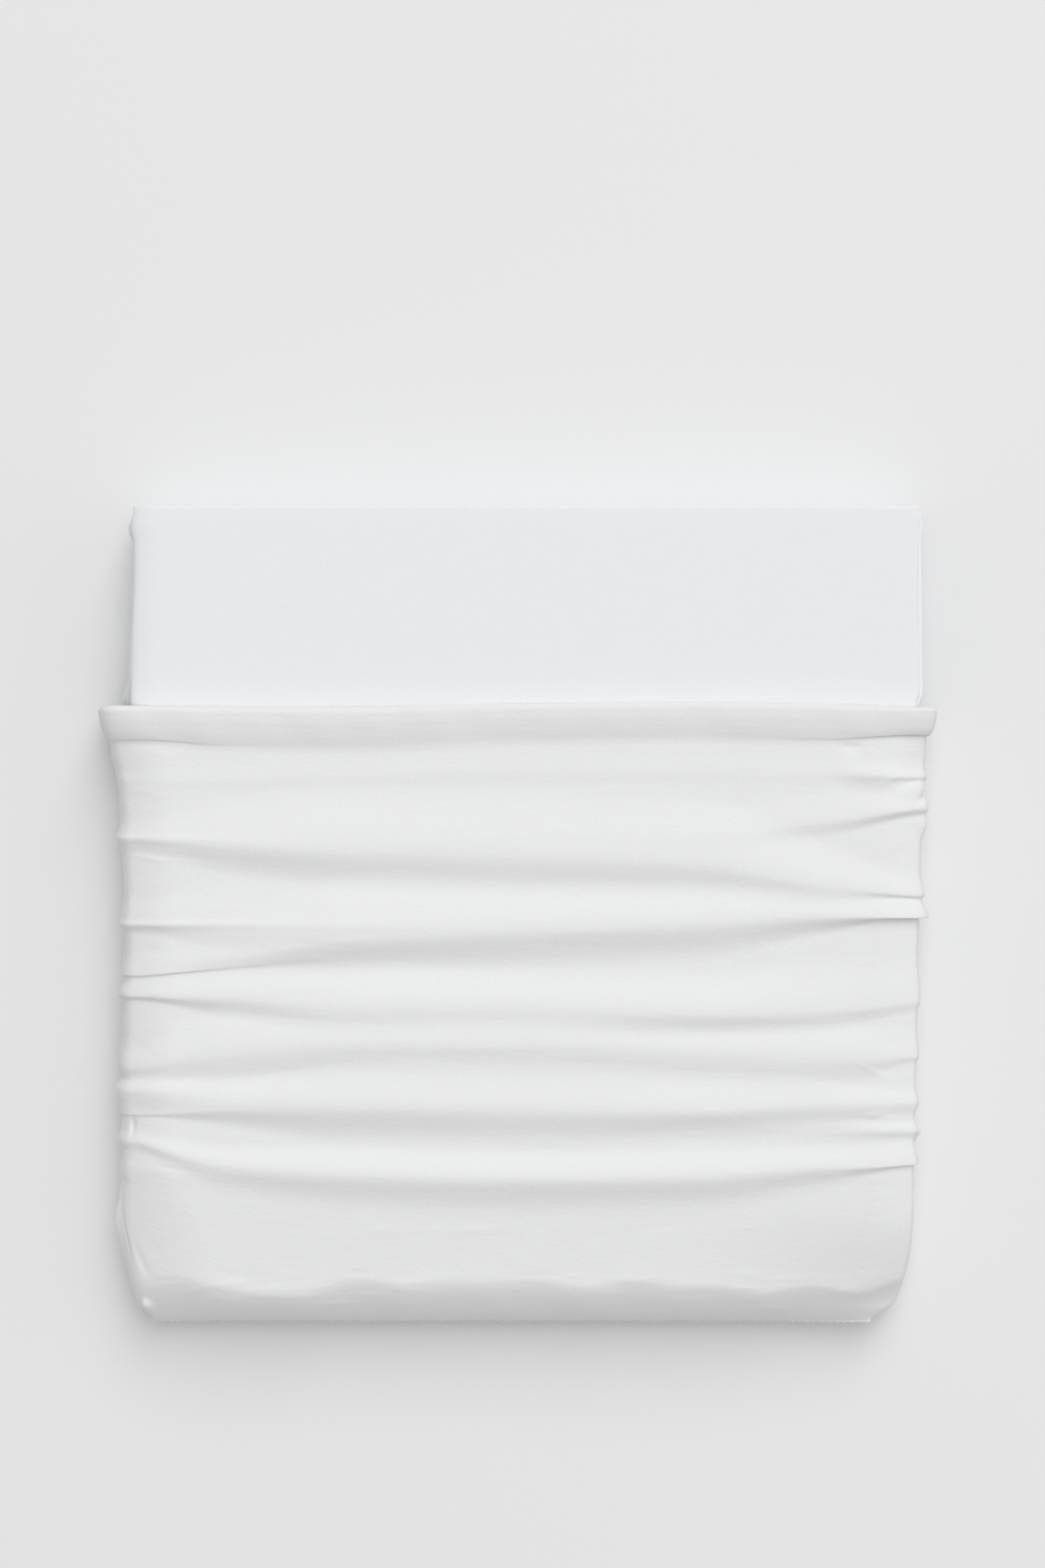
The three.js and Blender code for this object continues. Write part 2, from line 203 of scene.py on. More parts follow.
class Shader:
    """The node tree of one material, built up by one method."""

    def __init__(self, name: str) -> None:
        """Makes an empty material.

        Args:
            name: The material's name.
        """
        self.material = bpy.data.materials.new(name)
        self.material.use_nodes = True
        self.tree = self.material.node_tree
        self.tree.nodes.clear()

    def add(
        self,
        kind: str,
        settings: dict[str, object] | None = None,
        inputs: dict[int | str, object] | None = None,
        output: int | str = 0,
    ) -> Signal:
        """Adds a node.

        Args:
            kind: The node's type.
            settings: Its properties, which are set first.
            inputs: Values, or Signals to link, by socket index, identifier or name.
            output: The output that is wanted, by index, identifier or name.

        Returns:
            The wanted output.
        """
        node = self.tree.nodes.new(kind)
        for key, value in (settings or {}).items():
            setattr(node, key, value)
        for key, value in (inputs or {}).items():
            socket = self._socket(node.inputs, key)
            if isinstance(value, Signal):
                self.tree.links.new(value.socket, socket)
            else:
                socket.default_value = value
        return Signal(self, self._socket(node.outputs, output))

    def noise(
        self, place: Signal, size: float, detail: float, dimensions: str = "2D", roughness: float = 0.55
    ) -> Signal:
        """Adds a cloudy noise.

        Args:
            place: Where it is read, in metres.
            size: The size of its patches, in millimetres.
            detail: How many finer steps it has.
            dimensions: Whether it reads the cloth's flat map or the space round it.
            roughness: How strong its finer steps are.

        Returns:
            The noise, from 0 to 1.
        """
        settings = {"noise_dimensions": dimensions}
        inputs = {"Vector": place, "Scale": 1.0 / (size * METRES), "Detail": detail, "Roughness": roughness}
        return self.add("ShaderNodeTexNoise", settings, inputs)

    def mix(self, factor: Signal, low: "Row | Signal", high: "Row | Signal") -> Signal:
        """Mixes two colours.

        Args:
            factor: The share of the second colour.
            low: The first colour.
            high: The second colour.

        Returns:
            The mixed colour.
        """
        ends = [end if isinstance(end, Signal) else (*end, 1.0) for end in (low, high)]
        inputs = {"Factor_Float": factor, "A_Color": ends[0], "B_Color": ends[1]}
        return self.add("ShaderNodeMix", {"data_type": "RGBA"}, inputs, "Result_Color")

    def bump(self, height: Signal, strength: float, distance: float) -> Signal:
        """Returns the normal of a relief that is this deep, in millimetres."""
        inputs = {"Strength": strength, "Distance": distance * METRES, "Height": height}
        return self.add("ShaderNodeBump", inputs=inputs, output="Normal")

    def finish(self, surface: Signal) -> bpy.types.Material:
        """Closes the material.

        Args:
            surface: What it shows.

        Returns:
            The material.
        """
        output = self.tree.nodes.new("ShaderNodeOutputMaterial")
        self.tree.links.new(surface.socket, output.inputs["Surface"])
        return self.material

    @staticmethod
    def _socket(sockets: bpy.types.NodeInputs, key: int | str) -> bpy.types.NodeSocket:
        """Finds a socket.

        Args:
            sockets: A node's inputs or outputs.
            key: Its index, identifier or name.

        Returns:
            The socket.
        """
        if isinstance(key, int):
            return sockets[key]
        found = [socket for socket in sockets if socket.identifier == key]
        return found[0] if found else sockets[key]


@dataclass(frozen=True)
class KnitFinish:
    """A soft cotton jersey: fine wales and courses, a brushed nap and a faint cloudiness."""

    name: str
    light: tuple[float, float, float]
    deep: tuple[float, float, float]
    turned: tuple[float, float, float]
    roughness: float = 0.9
    roughness_spread: float = 0.08
    specular: float = 0.25
    sheen: float = 0.05
    sheen_roughness: float = 0.6
    wale: float = 0.85
    course: float = 0.62
    relief: float = 0.10
    strength: float = 0.8
    nap: float = 1.3
    streak: float = 2.2
    stretch: float = 0.2
    cloud: float = 17.0
    wobble: float = 2.0
    weave: tuple[float, float] = (0.07, 0.04)
    bumps: tuple[float, float, float] = (1.0, 1.2, 0.8)
    tints: tuple[float, float, float] = (0.3, 0.3, 0.4)

    def material(self) -> bpy.types.Material:
        """Builds the finish.

        Returns:
            The finished material, which reads the piece's own cloth map in metres.
        """
        shader = Shader(self.name)
        place = shader.add("ShaderNodeUVMap", {"uv_map": CLOTH_MAP}, output="UV")
        across = shader.add("ShaderNodeSeparateXYZ", inputs={"Vector": place}, output="X")
        along = shader.add("ShaderNodeSeparateXYZ", inputs={"Vector": place}, output="Y")
        nap = shader.noise(place, self.nap, 3.0)
        cloud = shader.noise(place, self.cloud, 2.0)
        wales = (across * (math.tau / (self.wale * METRES)) + nap * self.wobble).sine()
        up_wale = along * (math.tau / (self.course * METRES))
        courses = (up_wale + across * (math.pi / (self.wale * METRES))).sine()
        scale = (self.stretch, 1.0, 1.0)
        stretched = shader.add("ShaderNodeMapping", inputs={"Vector": place, "Scale": scale})
        streak = shader.noise(stretched, self.streak, 3.0)
        height = wales * self.weave[0] + courses * self.weave[1]
        height = height + nap * self.bumps[0] + streak * self.bumps[1] + cloud * self.bumps[2]
        tint = cloud * self.tints[2] + nap * self.tints[0] + streak * self.tints[1]
        turned = shader.add("ShaderNodeAttribute", {"attribute_name": TURNED}, output="Fac")
        surface = shader.add(
            "ShaderNodeBsdfPrincipled",
            inputs={
                "Base Color": shader.mix(turned, shader.mix(tint, self.deep, self.light), self.turned),
                "Roughness": nap * self.roughness_spread + (self.roughness - self.roughness_spread / 2.0),
                "Normal": shader.bump(height, self.strength, self.relief),
                "Specular IOR Level": self.specular,
                "Sheen Weight": self.sheen,
                "Sheen Roughness": self.sheen_roughness,
            },
        )
        return shader.finish(surface)


@dataclass(frozen=True)
class ThreadFinish:
    """A matt sewing thread with a faint twist."""

    name: str
    light: tuple[float, float, float]
    deep: tuple[float, float, float]
    twist: float = 0.5
    relief: float = 0.05
    strength: float = 0.5
    roughness: tuple[float, float] = (0.7, 0.1)

    def material(self) -> bpy.types.Material:
        """Builds the finish.

        Returns:
            The finished material, which reads Object coordinates.
        """
        shader = Shader(self.name)
        place = shader.add("ShaderNodeTexCoord", output="Object")
        strand = shader.noise(place, self.twist, 2.0, "3D", 0.5)
        smoothest, spread = self.roughness
        surface = shader.add(
            "ShaderNodeBsdfPrincipled",
            inputs={
                "Base Color": shader.mix(strand, self.deep, self.light),
                "Roughness": strand * spread + smoothest,
                "Normal": shader.bump(strand, self.strength, self.relief),
            },
        )
        return shader.finish(surface)


COVER_KNIT = KnitFinish(
    name="cover_knit",
    light=(0.812, 0.820, 0.838),
    deep=(0.796, 0.804, 0.822),
    turned=(0.80, 0.80, 0.80),
    relief=0.06,
    nap=1.0,
)
POUCH_KNIT = KnitFinish(
    name="pouch_knit",
    light=(0.806, 0.808, 0.811),
    deep=(0.782, 0.783, 0.785),
    # the turned hem, the lip of the mouth and the inside near the mouth take a slightly darker, warmer tone
    turned=(0.776, 0.775, 0.772),
    relief=0.12,
)
SEAM_THREAD = ThreadFinish(name="seam_thread", light=(0.86, 0.86, 0.85), deep=(0.74, 0.74, 0.73))


class Loft:
    """Rings of points that grow into one closed mesh, with a cloth map in metres."""

    def __init__(self) -> None:
        """Starts with no rings."""
        self.points: list[Array] = []
        self.maps: list[Array] = []
        self.faces: list[Array] = []
        self.count = 0

    def grid(self, points: Array, cloth_map: Array, closed: bool = True) -> Array:
        """Adds rings.

        Args:
            points: The rings, as rows by columns by 3, in millimetres.
            cloth_map: Each point's place on the flat cloth, as rows by columns by 2, in millimetres.
            closed: Whether each ring closes on itself.

        Returns:
            The points' numbers, as rows by columns.
        """
        rows, columns = points.shape[:2]
        numbers = self.count + np.arange(rows * columns).reshape(rows, columns)
        self.count += rows * columns
        self.points.append(points.reshape(-1, 3))
        self.maps.append(cloth_map.reshape(-1, 2))
        self.bridge(numbers, closed)
        return numbers

    def bridge(self, numbers: Array, closed: bool = True) -> None:
        """Joins each row of points to the next one with quads.

        Args:
            numbers: The points' numbers, as rows by columns.
            closed: Whether each row closes on itself.
        """
        after = np.roll(numbers, -1, axis=1)
        here = numbers if closed else numbers[:, :-1]
        after = after if closed else after[:, :-1]
        quads = np.stack([here[:-1], after[:-1], after[1:], here[1:]], axis=-1)
        self.faces.append(quads.reshape(-1, 4))

    def zip_up(self, first: Array, second: Array, first_places: Array, second_places: Array) -> None:
        """Closes the slit between two lines of points, which run the same way, with triangles.

        Args:
            first: The numbers of the first line's points.
            second: The numbers of the second line's points.
            first_places: How far along the slit the first line's points are.
            second_places: How far along the slit the second line's points are.
        """
        i = j = 0
        triangles = []
        while i + 1 < len(first) or j + 1 < len(second):
            step_first = j + 1 == len(second) or (
                i + 1 < len(first) and first_places[i + 1] <= second_places[j + 1]
            )
            if step_first:
                triangles.append([first[i], first[i + 1], second[j]])
                i += 1
            else:
                triangles.append([first[i], second[j + 1], second[j]])
                j += 1
        kept = [t for t in triangles if len(set(t)) == 3]
        self.faces.append(np.array(kept))

    def piece(self, name: str, attributes: dict[str, Array] | None = None) -> bpy.types.Object:
        """Makes the mesh.

        Args:
            name: The piece's name.
            attributes: Values for every point, by the attribute's name.

        Returns:
            The piece, with its faces outwards, smooth shading and the cloth map.
        """
        points = np.concatenate(self.points) * METRES
        faces = [tuple(int(n) for n in face) for group in self.faces for face in group]
        if self._volume(points, faces) < 0:
            faces = [face[::-1] for face in faces]
        mesh = bpy.data.meshes.new(name)
        mesh.from_pydata(points.tolist(), [], faces)
        mesh.polygons.foreach_set("use_smooth", np.ones(len(mesh.polygons), bool))
        corners = np.zeros(len(mesh.loops), int)
        mesh.loops.foreach_get("vertex_index", corners)
        layer = mesh.uv_layers.new(name=CLOTH_MAP)
        maps = np.concatenate(self.maps) * METRES
        layer.data.foreach_set("uv", maps[corners].astype(np.float32).ravel())
        for key, values in (attributes or {}).items():
            held = mesh.attributes.new(key, "FLOAT", "POINT")
            held.data.foreach_set("value", values.astype(np.float32))
        mesh.update()
        piece = bpy.data.objects.new(name, mesh)
        bpy.context.scene.collection.objects.link(piece)
        LOG.info("%s: %d points, %d faces", name, len(mesh.vertices), len(mesh.polygons))
        return piece

    @staticmethod
    def _volume(points: Array, faces: list[tuple[int, ...]]) -> float:
        """Measures the space that the faces close in.

        Args:
            points: The points.
            faces: The numbers of each face's points.

        Returns:
            Six times the volume, which is negative when the faces point inwards.
        """
        triangles = [(f[0], f[i], f[i + 1]) for f in faces for i in range(1, len(f) - 1)]
        a, b, c = (points[np.array(corner)] for corner in zip(*triangles))
        return float(np.einsum("ij,ij->i", a, np.cross(b, c)).sum())


@dataclass(frozen=True)
class PackShape:
    """The outline that the pouch and the folded cover inside it share."""

    top: float = 48.8
    seam_height: float = 17.5
    seam: float = -177.4
    corner_seam: float = 21.0
    seam_rise_x: tuple[float, float] = (100.0, 158.0)
    seam_rise_y: tuple[float, float] = (140.0, 176.0)
    squareness: float = 2.9
    cloth: float = 1.2
    places: Row = (-177.4, -170, -160, -145, -131, -111, -51, -16, 16, 57, 74, 92)
    left: Row = (-159.5, -166, -169, -171.8, -174, -172.6, -172.6, -171.2, -171.8, -174, -177.4, -177.9)
    flat_left: Row = (-154, -158, -160.5, -163.5, -165.5, -165.2, -165.2, -164.5, -165, -167, -171, -171.5)
    flat_right: Row = (149, 158, 164, 168, 169.4, 169.6, 170.8, 171.2, 172, 173.4, 174.6, 175.2)
    right: Row = (154.5, 164.2, 168.4, 171.6, 172.4, 172.4, 173.8, 174.4, 175.4, 176.8, 177.6, 177.8)
    sunk: float = 4.6
    sunk_from: float = -100.0
    sunk_over: float = 70.0
    sunk_corner: float = 9.0
    corner_width: float = 105.0
    corner_from: float = -127.0
    corner_over: float = 50.0
    sag: tuple[float, float] = (5.0, 4.2)
    sag_width: tuple[float, float] = (18.0, 17.0)
    sag_from: float = 94.0
    sag_over: float = 30.0
    heel_sag: float = 2.5
    heel_width: float = 14.0
    heel_from: float = -105.0
    heel_over: float = 35.0

    def reach(self, side: Side, y: Array) -> Array:
        """Returns how far the pouch reaches to that side at mid height, without its folds."""
        return SmoothCurve(self.places, self.left if side is Side.LEFT else self.right)(y)

    def flat(self, side: Side, y: Array) -> Array:
        """Returns where the flat of the pack's top ends at that side."""
        return SmoothCurve(self.places, self.flat_left if side is Side.LEFT else self.flat_right)(y)

    def sinking(self, x: Array, y: Array) -> Array:
        """Sinks the top towards the sewn end, its right corner and the sides.

        Args:
            x: Places across the pack.
            y: Places along it.

        Returns:
            How far the top has sunk there.
        """
        left, right = self.flat(Side.LEFT, y), self.flat(Side.RIGHT, y)
        towards_end = smoothstep(self.sunk_from - y, 0.0, self.sunk_over)
        towards_corner = smoothstep(x, right - self.corner_width, right)
        towards_corner = towards_corner * smoothstep(self.corner_from - y, 0.0, self.corner_over)
        heel = smoothstep(self.heel_from - y, 0.0, self.heel_over)
        by_left = np.maximum(1.0 - (x - left) / (self.sag_width[0] + self.heel_width * heel), 0.0)
        by_right = np.maximum(1.0 - (right - x) / self.sag_width[1], 0.0)
        rounded = (self.sag[0] + self.heel_sag * heel) * by_left**2 + self.sag[1] * by_right**2
        rounded = rounded * smoothstep(self.sag_from - y, 0.0, self.sag_over)
        return towards_end * self.sunk + towards_corner * self.sunk_corner + rounded

    def seam_at(self, x: Array, y: Array) -> Array:
        """Returns the height of the sewn edge, which rises a little towards the pack's right corner."""
        rise = smoothstep(x, *self.seam_rise_x) * smoothstep(-y, *self.seam_rise_y)
        return self.seam_height + (self.corner_seam - self.seam_height) * rise

    def side_share(self, height: Array) -> Array:
        """Returns how far the rounded side reaches past the flat, as a share, at a share of its height."""
        return (1.0 - np.clip(height, 0.0, 1.0) ** self.squareness) ** (1.0 / self.squareness)


PLACES = (-163.0, -125.0, -73.0, 2.0, 77.0, 132.0, 171.0)


@dataclass(frozen=True)
class Fold:
    """A fold across the pouch, given at the seven PLACES from its left edge to its right edge.

    The crest is the fold's line, rise and drop are the lengths of its slopes on the mouth's side and on the
    sewn side, and lean is how far its crest hangs over the sewn side. With more skew, the slope on the sewn
    side is steeper near the crest and runs out more softly. A row shorter than PLACES keeps its last value.
    """

    name: str
    crest: Row
    height: Row
    rise: Row
    drop: Row
    lean: Row = (0,)
    skew: float = 0.2

    def curves(self) -> tuple[SmoothCurve, ...]:
        """Fills up the rows and draws them.

        Returns:
            The curves of crest, height, rise, drop and lean across the pouch.
        """
        rows = (self.crest, self.height, self.rise, self.drop, self.lean)
        crest, *others = (row + row[-1:] * (len(PLACES) - len(row)) for row in rows)
        return SmoothCurve(PLACES, crest, soft_ends=False), *(SmoothCurve(PLACES, row) for row in others)


@dataclass(frozen=True)
class Pucker:
    """A small puff, or a dent where its height is negative: an oval across the pouch and along it."""

    name: str
    across: float
    y: float
    length: float
    width: float
    angle: float
    height: float

    def lift(self, across: Array, y: Array) -> Array:
        """Shapes the oval.

        Args:
            across: Places across the pouch.
            y: Places along it.

        Returns:
            How far it lifts the cloth there.
        """
        turn = math.radians(self.angle)
        aside, along = across - self.across, y - self.y
        run = (aside * math.cos(turn) + along * math.sin(turn)) / (self.length / 2.0)
        over = (along * math.cos(turn) - aside * math.sin(turn)) / (self.width / 2.0)
        away = np.clip(np.hypot(run, over), 0.0, 1.0)
        return self.height * np.cos(away * math.pi / 2.0) ** 2


FOLDS = (
    Fold(
        "faint tuck",
        crest=(58, 59, 60.5, 62.5, 62.5, 61.4, 60.4),
        height=(0.3, 0.35, 0.3, 0.3, 0.3, 0.3, 1.1),
        rise=(6, 7, 9, 9, 8, 6, 4),
        drop=(5, 5, 6, 6, 6, 5, 3),
        lean=(0, 0, 0, 0, 0, 0, 0.4),
    ),
    Fold(
        "right corner pleat",
        crest=(40, 40, 38, 36, 36.4, 41.2, 46.8),
        height=(0, 0, 0, 0, 0.5, 1.7, 2.6),
        rise=(9, 9, 9, 9, 14, 14, 8),
        drop=(9, 9, 9, 9, 9, 8, 5),
        lean=(0, 0, 0, 0, 0, 0.3, 0.9),
    ),
    Fold(
        "upper fold",
        crest=(33.4, 30.9, 28.7, 27.2, 23.8, 13.4, 9.2),
        height=(1.6, 3.9, 5.2, 4.8, 4.6, 3.4, 2.1),
        rise=(9, 22, 29, 30, 31, 20, 9),
        drop=(8, 13, 18, 20, 18, 9.5, 3.6),
        lean=(0.5, 0, 0, 0, 0, 0.3, 1.6),
    ),
    Fold(
        "pinched end of the upper fold",
        crest=(34.5, 32.6, 30.6, 30),
        height=(0.8, 0.45, 0.1, 0),
        rise=(2.6, 4.0, 6.0),
        drop=(3.6, 5.0, 6.0),
    ),
    Fold(
        "left pleat",
        crest=(-3.0, -3.3, -3.8, -5),
        height=(1.6, 2.2, 0.8, 0),
        rise=(12, 20, 22, 20),
        drop=(5.5, 12, 13, 12),
        lean=(0.5, 0),
    ),
    Fold(
        "pinched crest of the left pleat",
        crest=(-2.6, -2.8, -3.1),
        height=(0.8, 0.6, 0.35, 0),
        rise=(2.4, 2.6, 3.0),
        drop=(3.6, 4.0, 4.4, 4),
    ),
    Fold(
        "second fold",
        crest=(-18.4, -16.2, -9.0, -5.0, -2.3, 0.4, -0.3),
        height=(0, 1.8, 6.0, 5.7, 5.2, 4.0),
        rise=(12, 18, 30, 22, 19, 13, 8),
        drop=(8, 9, 17, 18.5, 17.5, 9, 2.6),
        lean=(0, 0, 0, 0, 0, 0.5, 2.6),
    ),
    Fold(
        "second fold's thin end",
        crest=(-25.2, -21.2, -15.8, -12),
        height=(1.1, 0.8, 0.2, 0),
        rise=(9, 10, 9),
        drop=(2.4, 3.0, 5, 6),
        lean=(1.3, 0.7, 0),
    ),
    Fold(
        "third fold",
        crest=(-34.0, -34.6, -38.4, -39.6, -41.2, -40, -36.4),
        height=(2.0, 3.7, 5.2, 4.4, 5.0, 3.4, 1.4),
        rise=(7, 14, 21, 19, 19, 23, 20),
        drop=(3.6, 10, 13.5, 13.5, 11, 10, 6),
        lean=(1.0, 0.2, 0, 0, 0, 0, 0.2),
    ),
    Fold(
        "fourth fold",
        crest=(-64.6, -57.6, -54, -53.6, -57.8, -59.8, -60),
        height=(1.5, 4.0, 5.2, 4.8, 4.0, 3.4, 1.2),
        rise=(11, 22, 16, 13.5, 17, 20, 10),
        drop=(7, 19, 22, 23, 21, 19, 5),
        lean=(0.8, 0, 0, 0, 0, 0, 1.0),
    ),
    Fold(
        "left crumple",
        crest=(-74.6, -75.0, -72),
        height=(2.4, 1.6, 0.2, 0),
        rise=(4.5, 8, 9),
        drop=(10, 11, 9),
        lean=(0.5, 0),
    ),
    Fold(
        "fifth fold",
        crest=(-85.0, -82.6, -80.6, -81.9, -82.8, -80.6, -80.4),
        height=(0.8, 3.2, 5.9, 5.2, 4.8, 3.2, 1.6),
        rise=(13, 13, 20, 23, 18, 13, 7),
        drop=(2.6, 9.0, 18, 18, 13.5, 12, 7),
        lean=(0.8, 0.6, 0, 0, 0, 0, 0.6),
    ),
    Fold(
        "right crumple",
        crest=(-91, -91, -91, -91, -91, -91.4, -92.2),
        height=(0, 0, 0, 0, 0.1, 0.6, 1.5),
        rise=(6, 6, 6, 6, 7, 6, 5),
        drop=(6, 6, 6, 6, 6, 6, 4.4),
        lean=(0, 0, 0, 0, 0, 0, 0.2),
    ),
    Fold(
        "last fold",
        crest=(-97, -107.0, -110.8, -112.6, -111.6, -107.8, -106.8),
        height=(1.5, 2.9, 4.3, 4.5, 4.4, 3.0, 2.0),
        rise=(5, 9, 13, 13, 13, 10, 9),
        drop=(7, 14, 18, 19, 18, 11.5, 2.6),
        lean=(0.6, 0.1, 0, 0, 0, 0.4, 1.4),
        skew=0.6,
    ),
    Fold(
        "left heel crease",
        crest=(-109, -112, -113),
        height=(0.5, 0.2, 0),
        rise=(5, 6),
        drop=(9,),
    ),
)

PUCKERS = (
    Pucker("puff under the hem", across=152, y=62, length=46, width=18, angle=-8, height=1.3),
    Pucker("dent under the hem", across=144, y=73.5, length=16, width=6, angle=-6, height=-1.0),
    Pucker("corner puff", across=172, y=55, length=26, width=9, angle=10, height=1.5),
    Pucker("nick beside it", across=175, y=51.5, length=12, width=3.4, angle=30, height=-1.5),
    Pucker("fullness under the pleat", across=181, y=40, length=22, width=17, angle=0, height=2.4),
    Pucker("tip of the right crumple", across=183, y=-94, length=18, width=9, angle=0, height=1.6),
    Pucker("groove at the shoulder", across=-166, y=-90, length=11, width=4, angle=86, height=-2.0),
    Pucker("heel lobe", across=-183, y=-134, length=46, width=12, angle=92, height=1.5),
    Pucker("heel groove", across=-174, y=-137, length=38, width=6, angle=104, height=-0.8),
    Pucker("heel ridge", across=-168, y=-142, length=30, width=6, angle=110, height=0.2),
    Pucker("lower heel groove", across=-163, y=-149, length=24, width=5, angle=116, height=-0.6),
    Pucker("corner tab", across=-162, y=-170.5, length=13, width=10, angle=-48, height=3.2),
    Pucker("corner dimple", across=157, y=-166, length=46, width=18, angle=10, height=-1.6),
)


@dataclass(frozen=True)
class Crumples:
    """Many small puckers strewn at random over one part of the pouch."""

    count: int
    seed: int
    nearest: float
    furthest: float
    low: float
    high: float
    length: tuple[float, float]
    width: tuple[float, float]
    height: float
    tilt: float
    deepest: float = -0.8

    def scatter(self) -> list[Pucker]:
        """Strews the puckers.

        Returns:
            The puckers, the same ones on every run.
        """
        chance = np.random.default_rng(self.seed)
        made = []
        for number in range(self.count):
            side = chance.choice([-1.0, 1.0])
            made.append(
                Pucker(
                    f"crumple {self.seed} {number}",
                    across=side * chance.uniform(self.nearest, self.furthest),
                    y=chance.uniform(self.low, self.high),
                    length=chance.uniform(*self.length),
                    width=chance.uniform(*self.width),
                    angle=chance.normal(0.0, self.tilt),
                    height=self.height * chance.uniform(self.deepest, 1.0),
                )
            )
        return made


CRUMPLES = (
    Crumples(70, 11, 10, 165, -140, 74, length=(40, 110), width=(3.5, 8), height=0.2, tilt=4),
    Crumples(80, 12, 150, 186, -145, 72, length=(9, 26), width=(3, 6), height=0.5, tilt=16),
    Crumples(60, 13, 5, 160, -173, -153, length=(12, 40), width=(2.4, 5), height=0.45, tilt=7),
)


@dataclass(frozen=True)
class RowSpread:
    """How close together the rows of points lie along the pouch: plainly, and more so on what stands out."""

    highest: float = 93.0
    samples: int = 1600
    plain: float = 0.5
    hem: float = 1.9
    hem_foot: tuple[float, float] = (-3.5, -1.0)
    fold: float = 7.5
    full_fold: float = 1.2
    slope_share: float = 0.45
    slope_width: tuple[float, float] = (0.6, 0.9)
    end: float = 0.9
    end_from: float = -150.0
    end_limit: float = 0.985
    end_less: float = 0.6


@dataclass
class Pouch:
    """The pouch: a tube of jersey, sewn shut across one end, with a thick turned hem round its mouth."""

    shape: PackShape
    name: str = "jersey_pouch"
    mouth: Row = (91.0, 90.6, 90.4, 91.9, 92.5, 91.7, 90.4)
    hem_foot: Row = (74.2, 71.0, 70.2, 73.4, 74.4, 73.8, 78.4)
    hem_shares: Row = (0, 0.05, 0.14, 0.30, 0.46, 0.62, 0.78, 0.90, 1.0)
    hem_thickness: Row = (2.1, 2.8, 3.3, 3.2, 2.65, 1.85, 0.85, 0.25, 0)
    hem_full: Row = (1.3, 1.22, 1.14, 1.0, 1.0, 1.1, 1.3)
    hem_lean: Row = (1.8, 0.9, 0.3, 0.2, 0.3, 1.1, 3.0)
    hem_waves: tuple[Wave, ...] = ((0.05, 7.3, 1.0), (0.06, 13.7, 0.0))
    hem_ripple: tuple[float, float, float] = (0.04, 4.1, 5.0)
    hang_shares: tuple[float, float] = (0.2, 0.62)
    hang_end: tuple[float, float] = (0.9, 0.16)
    turned_end: tuple[float, float] = (0.86, 0.1)
    end_places: Row = (-163, -146, -113, -73, -20, 40, 77, 100, 130, 152, 166)
    end_start: Row = (-155.5, -156, -161.5, -157.5, -156.5, -157, -158, -160, -161.5, -160.5, -158.5)
    end_shape: Row = (1.55, 1.55, 1.55, 1.55, 1.55, 1.55, 1.55, 1.5, 1.35, 1.2, 1.2)
    end_waves: tuple[Wave, ...] = ((1.1, 6.3, 0.0), (1.1, 10.1, 2.0))
    base_start: float = -163.0
    base_shape: float = 2.0
    lip: float = 0.45
    inner_lip: float = 0.25
    lip_reach: float = 0.5
    lip_shares: Row = (0.35, 0.7, 0.92, 0.99)
    least_height: float = 0.3
    gather: float = 1.5
    fade_from: float = 2.0
    fade_over: float = 7.0
    mouth_fade: float = 3.0
    mouth_shares: Row = (0.15, 0.5, 0.85)
    mouth_bulge: float = 0.15
    under_sides: float = 0.75
    side_run: float = 26.0
    outer_rows: int = 330
    inner_rows: int = 120
    inner_lift: float = 0.4
    inner_end: float = 2.0
    spread: RowSpread = RowSpread()
    left_turns: Row = (0.0, 0.05, 0.12, 0.19)
    left_spans: tuple[Row, ...] = ((0.24, 0.54, 0.0165), (0.56, 0.98, 0.04))
    right_span: Row = (2.05, 2.75, 0.05)
    right_turns: Row = (2.8, 2.87, 2.94, 3.0)
    flat_columns: int = 124
    flat_bunching: float = 0.66
    base_turns: Row = (0.12, 0.25, 0.4, 0.55, 0.7, 0.85)
    base_columns: int = 22
    seam_turn: float = 0.37
    seam_waves: tuple[Wave, ...] = ((0.07, 17.0, 1.0), (0.03, 7.3, 0.0))
    seam_ridge: float = 0.4
    seam_width: float = 0.024
    seam_beads: tuple[float, float] = (0.2, 3.1)
    seam_start: tuple[float, float] = (2.0, 14.0)
    seam_end: float = 5.0
    sewn_turns: tuple[float, float] = (0.6, 2.4)
    sewn_length: float = 320.0
    sewn_share: float = 0.2
    flat_size: tuple[float, float] = (0.76, 0.34)

    def __post_init__(self) -> None:
        """Works out the curves that every point needs, and where the small puckers lie."""
        self.mouth_at = SmoothCurve(PLACES, self.mouth)
        self.foot_at = SmoothCurve(PLACES, self.hem_foot)
        self.hem_at = SmoothCurve(self.hem_shares, self.hem_thickness)
        self.hem_full_at = SmoothCurve(PLACES, self.hem_full)
        self.hem_lean_at = SmoothCurve(PLACES, self.hem_lean)
        self.end_at = SmoothCurve(self.end_places, self.end_start)
        self.end_shape_at = SmoothCurve(self.end_places, self.end_shape)
        self.folds = [fold.curves() for fold in FOLDS]
        self.puckers = [*PUCKERS, *(pucker for patch in CRUMPLES for pucker in patch.scatter())]

    def across(self, turn: Array, y: Array) -> Array:
        """Finds the place across the pouch that a turn stands for.

        Args:
            turn: 0 at the left edge, 1 and 2 where the flat of the top begins and ends, 3 at the right edge.
            y: The place along the pouch.

        Returns:
            The place across, measured on over the rounded sides.
        """
        left, right = self.shape.flat(Side.LEFT, y), self.shape.flat(Side.RIGHT, y)
        on_flat = lerp(left, right, np.clip(turn - 1.0, 0.0, 1.0))
        to_left, to_right = (np.clip(past, 0.0, 1.0) * self.side_run for past in (1.0 - turn, turn - 2.0))
        return on_flat - to_left + to_right

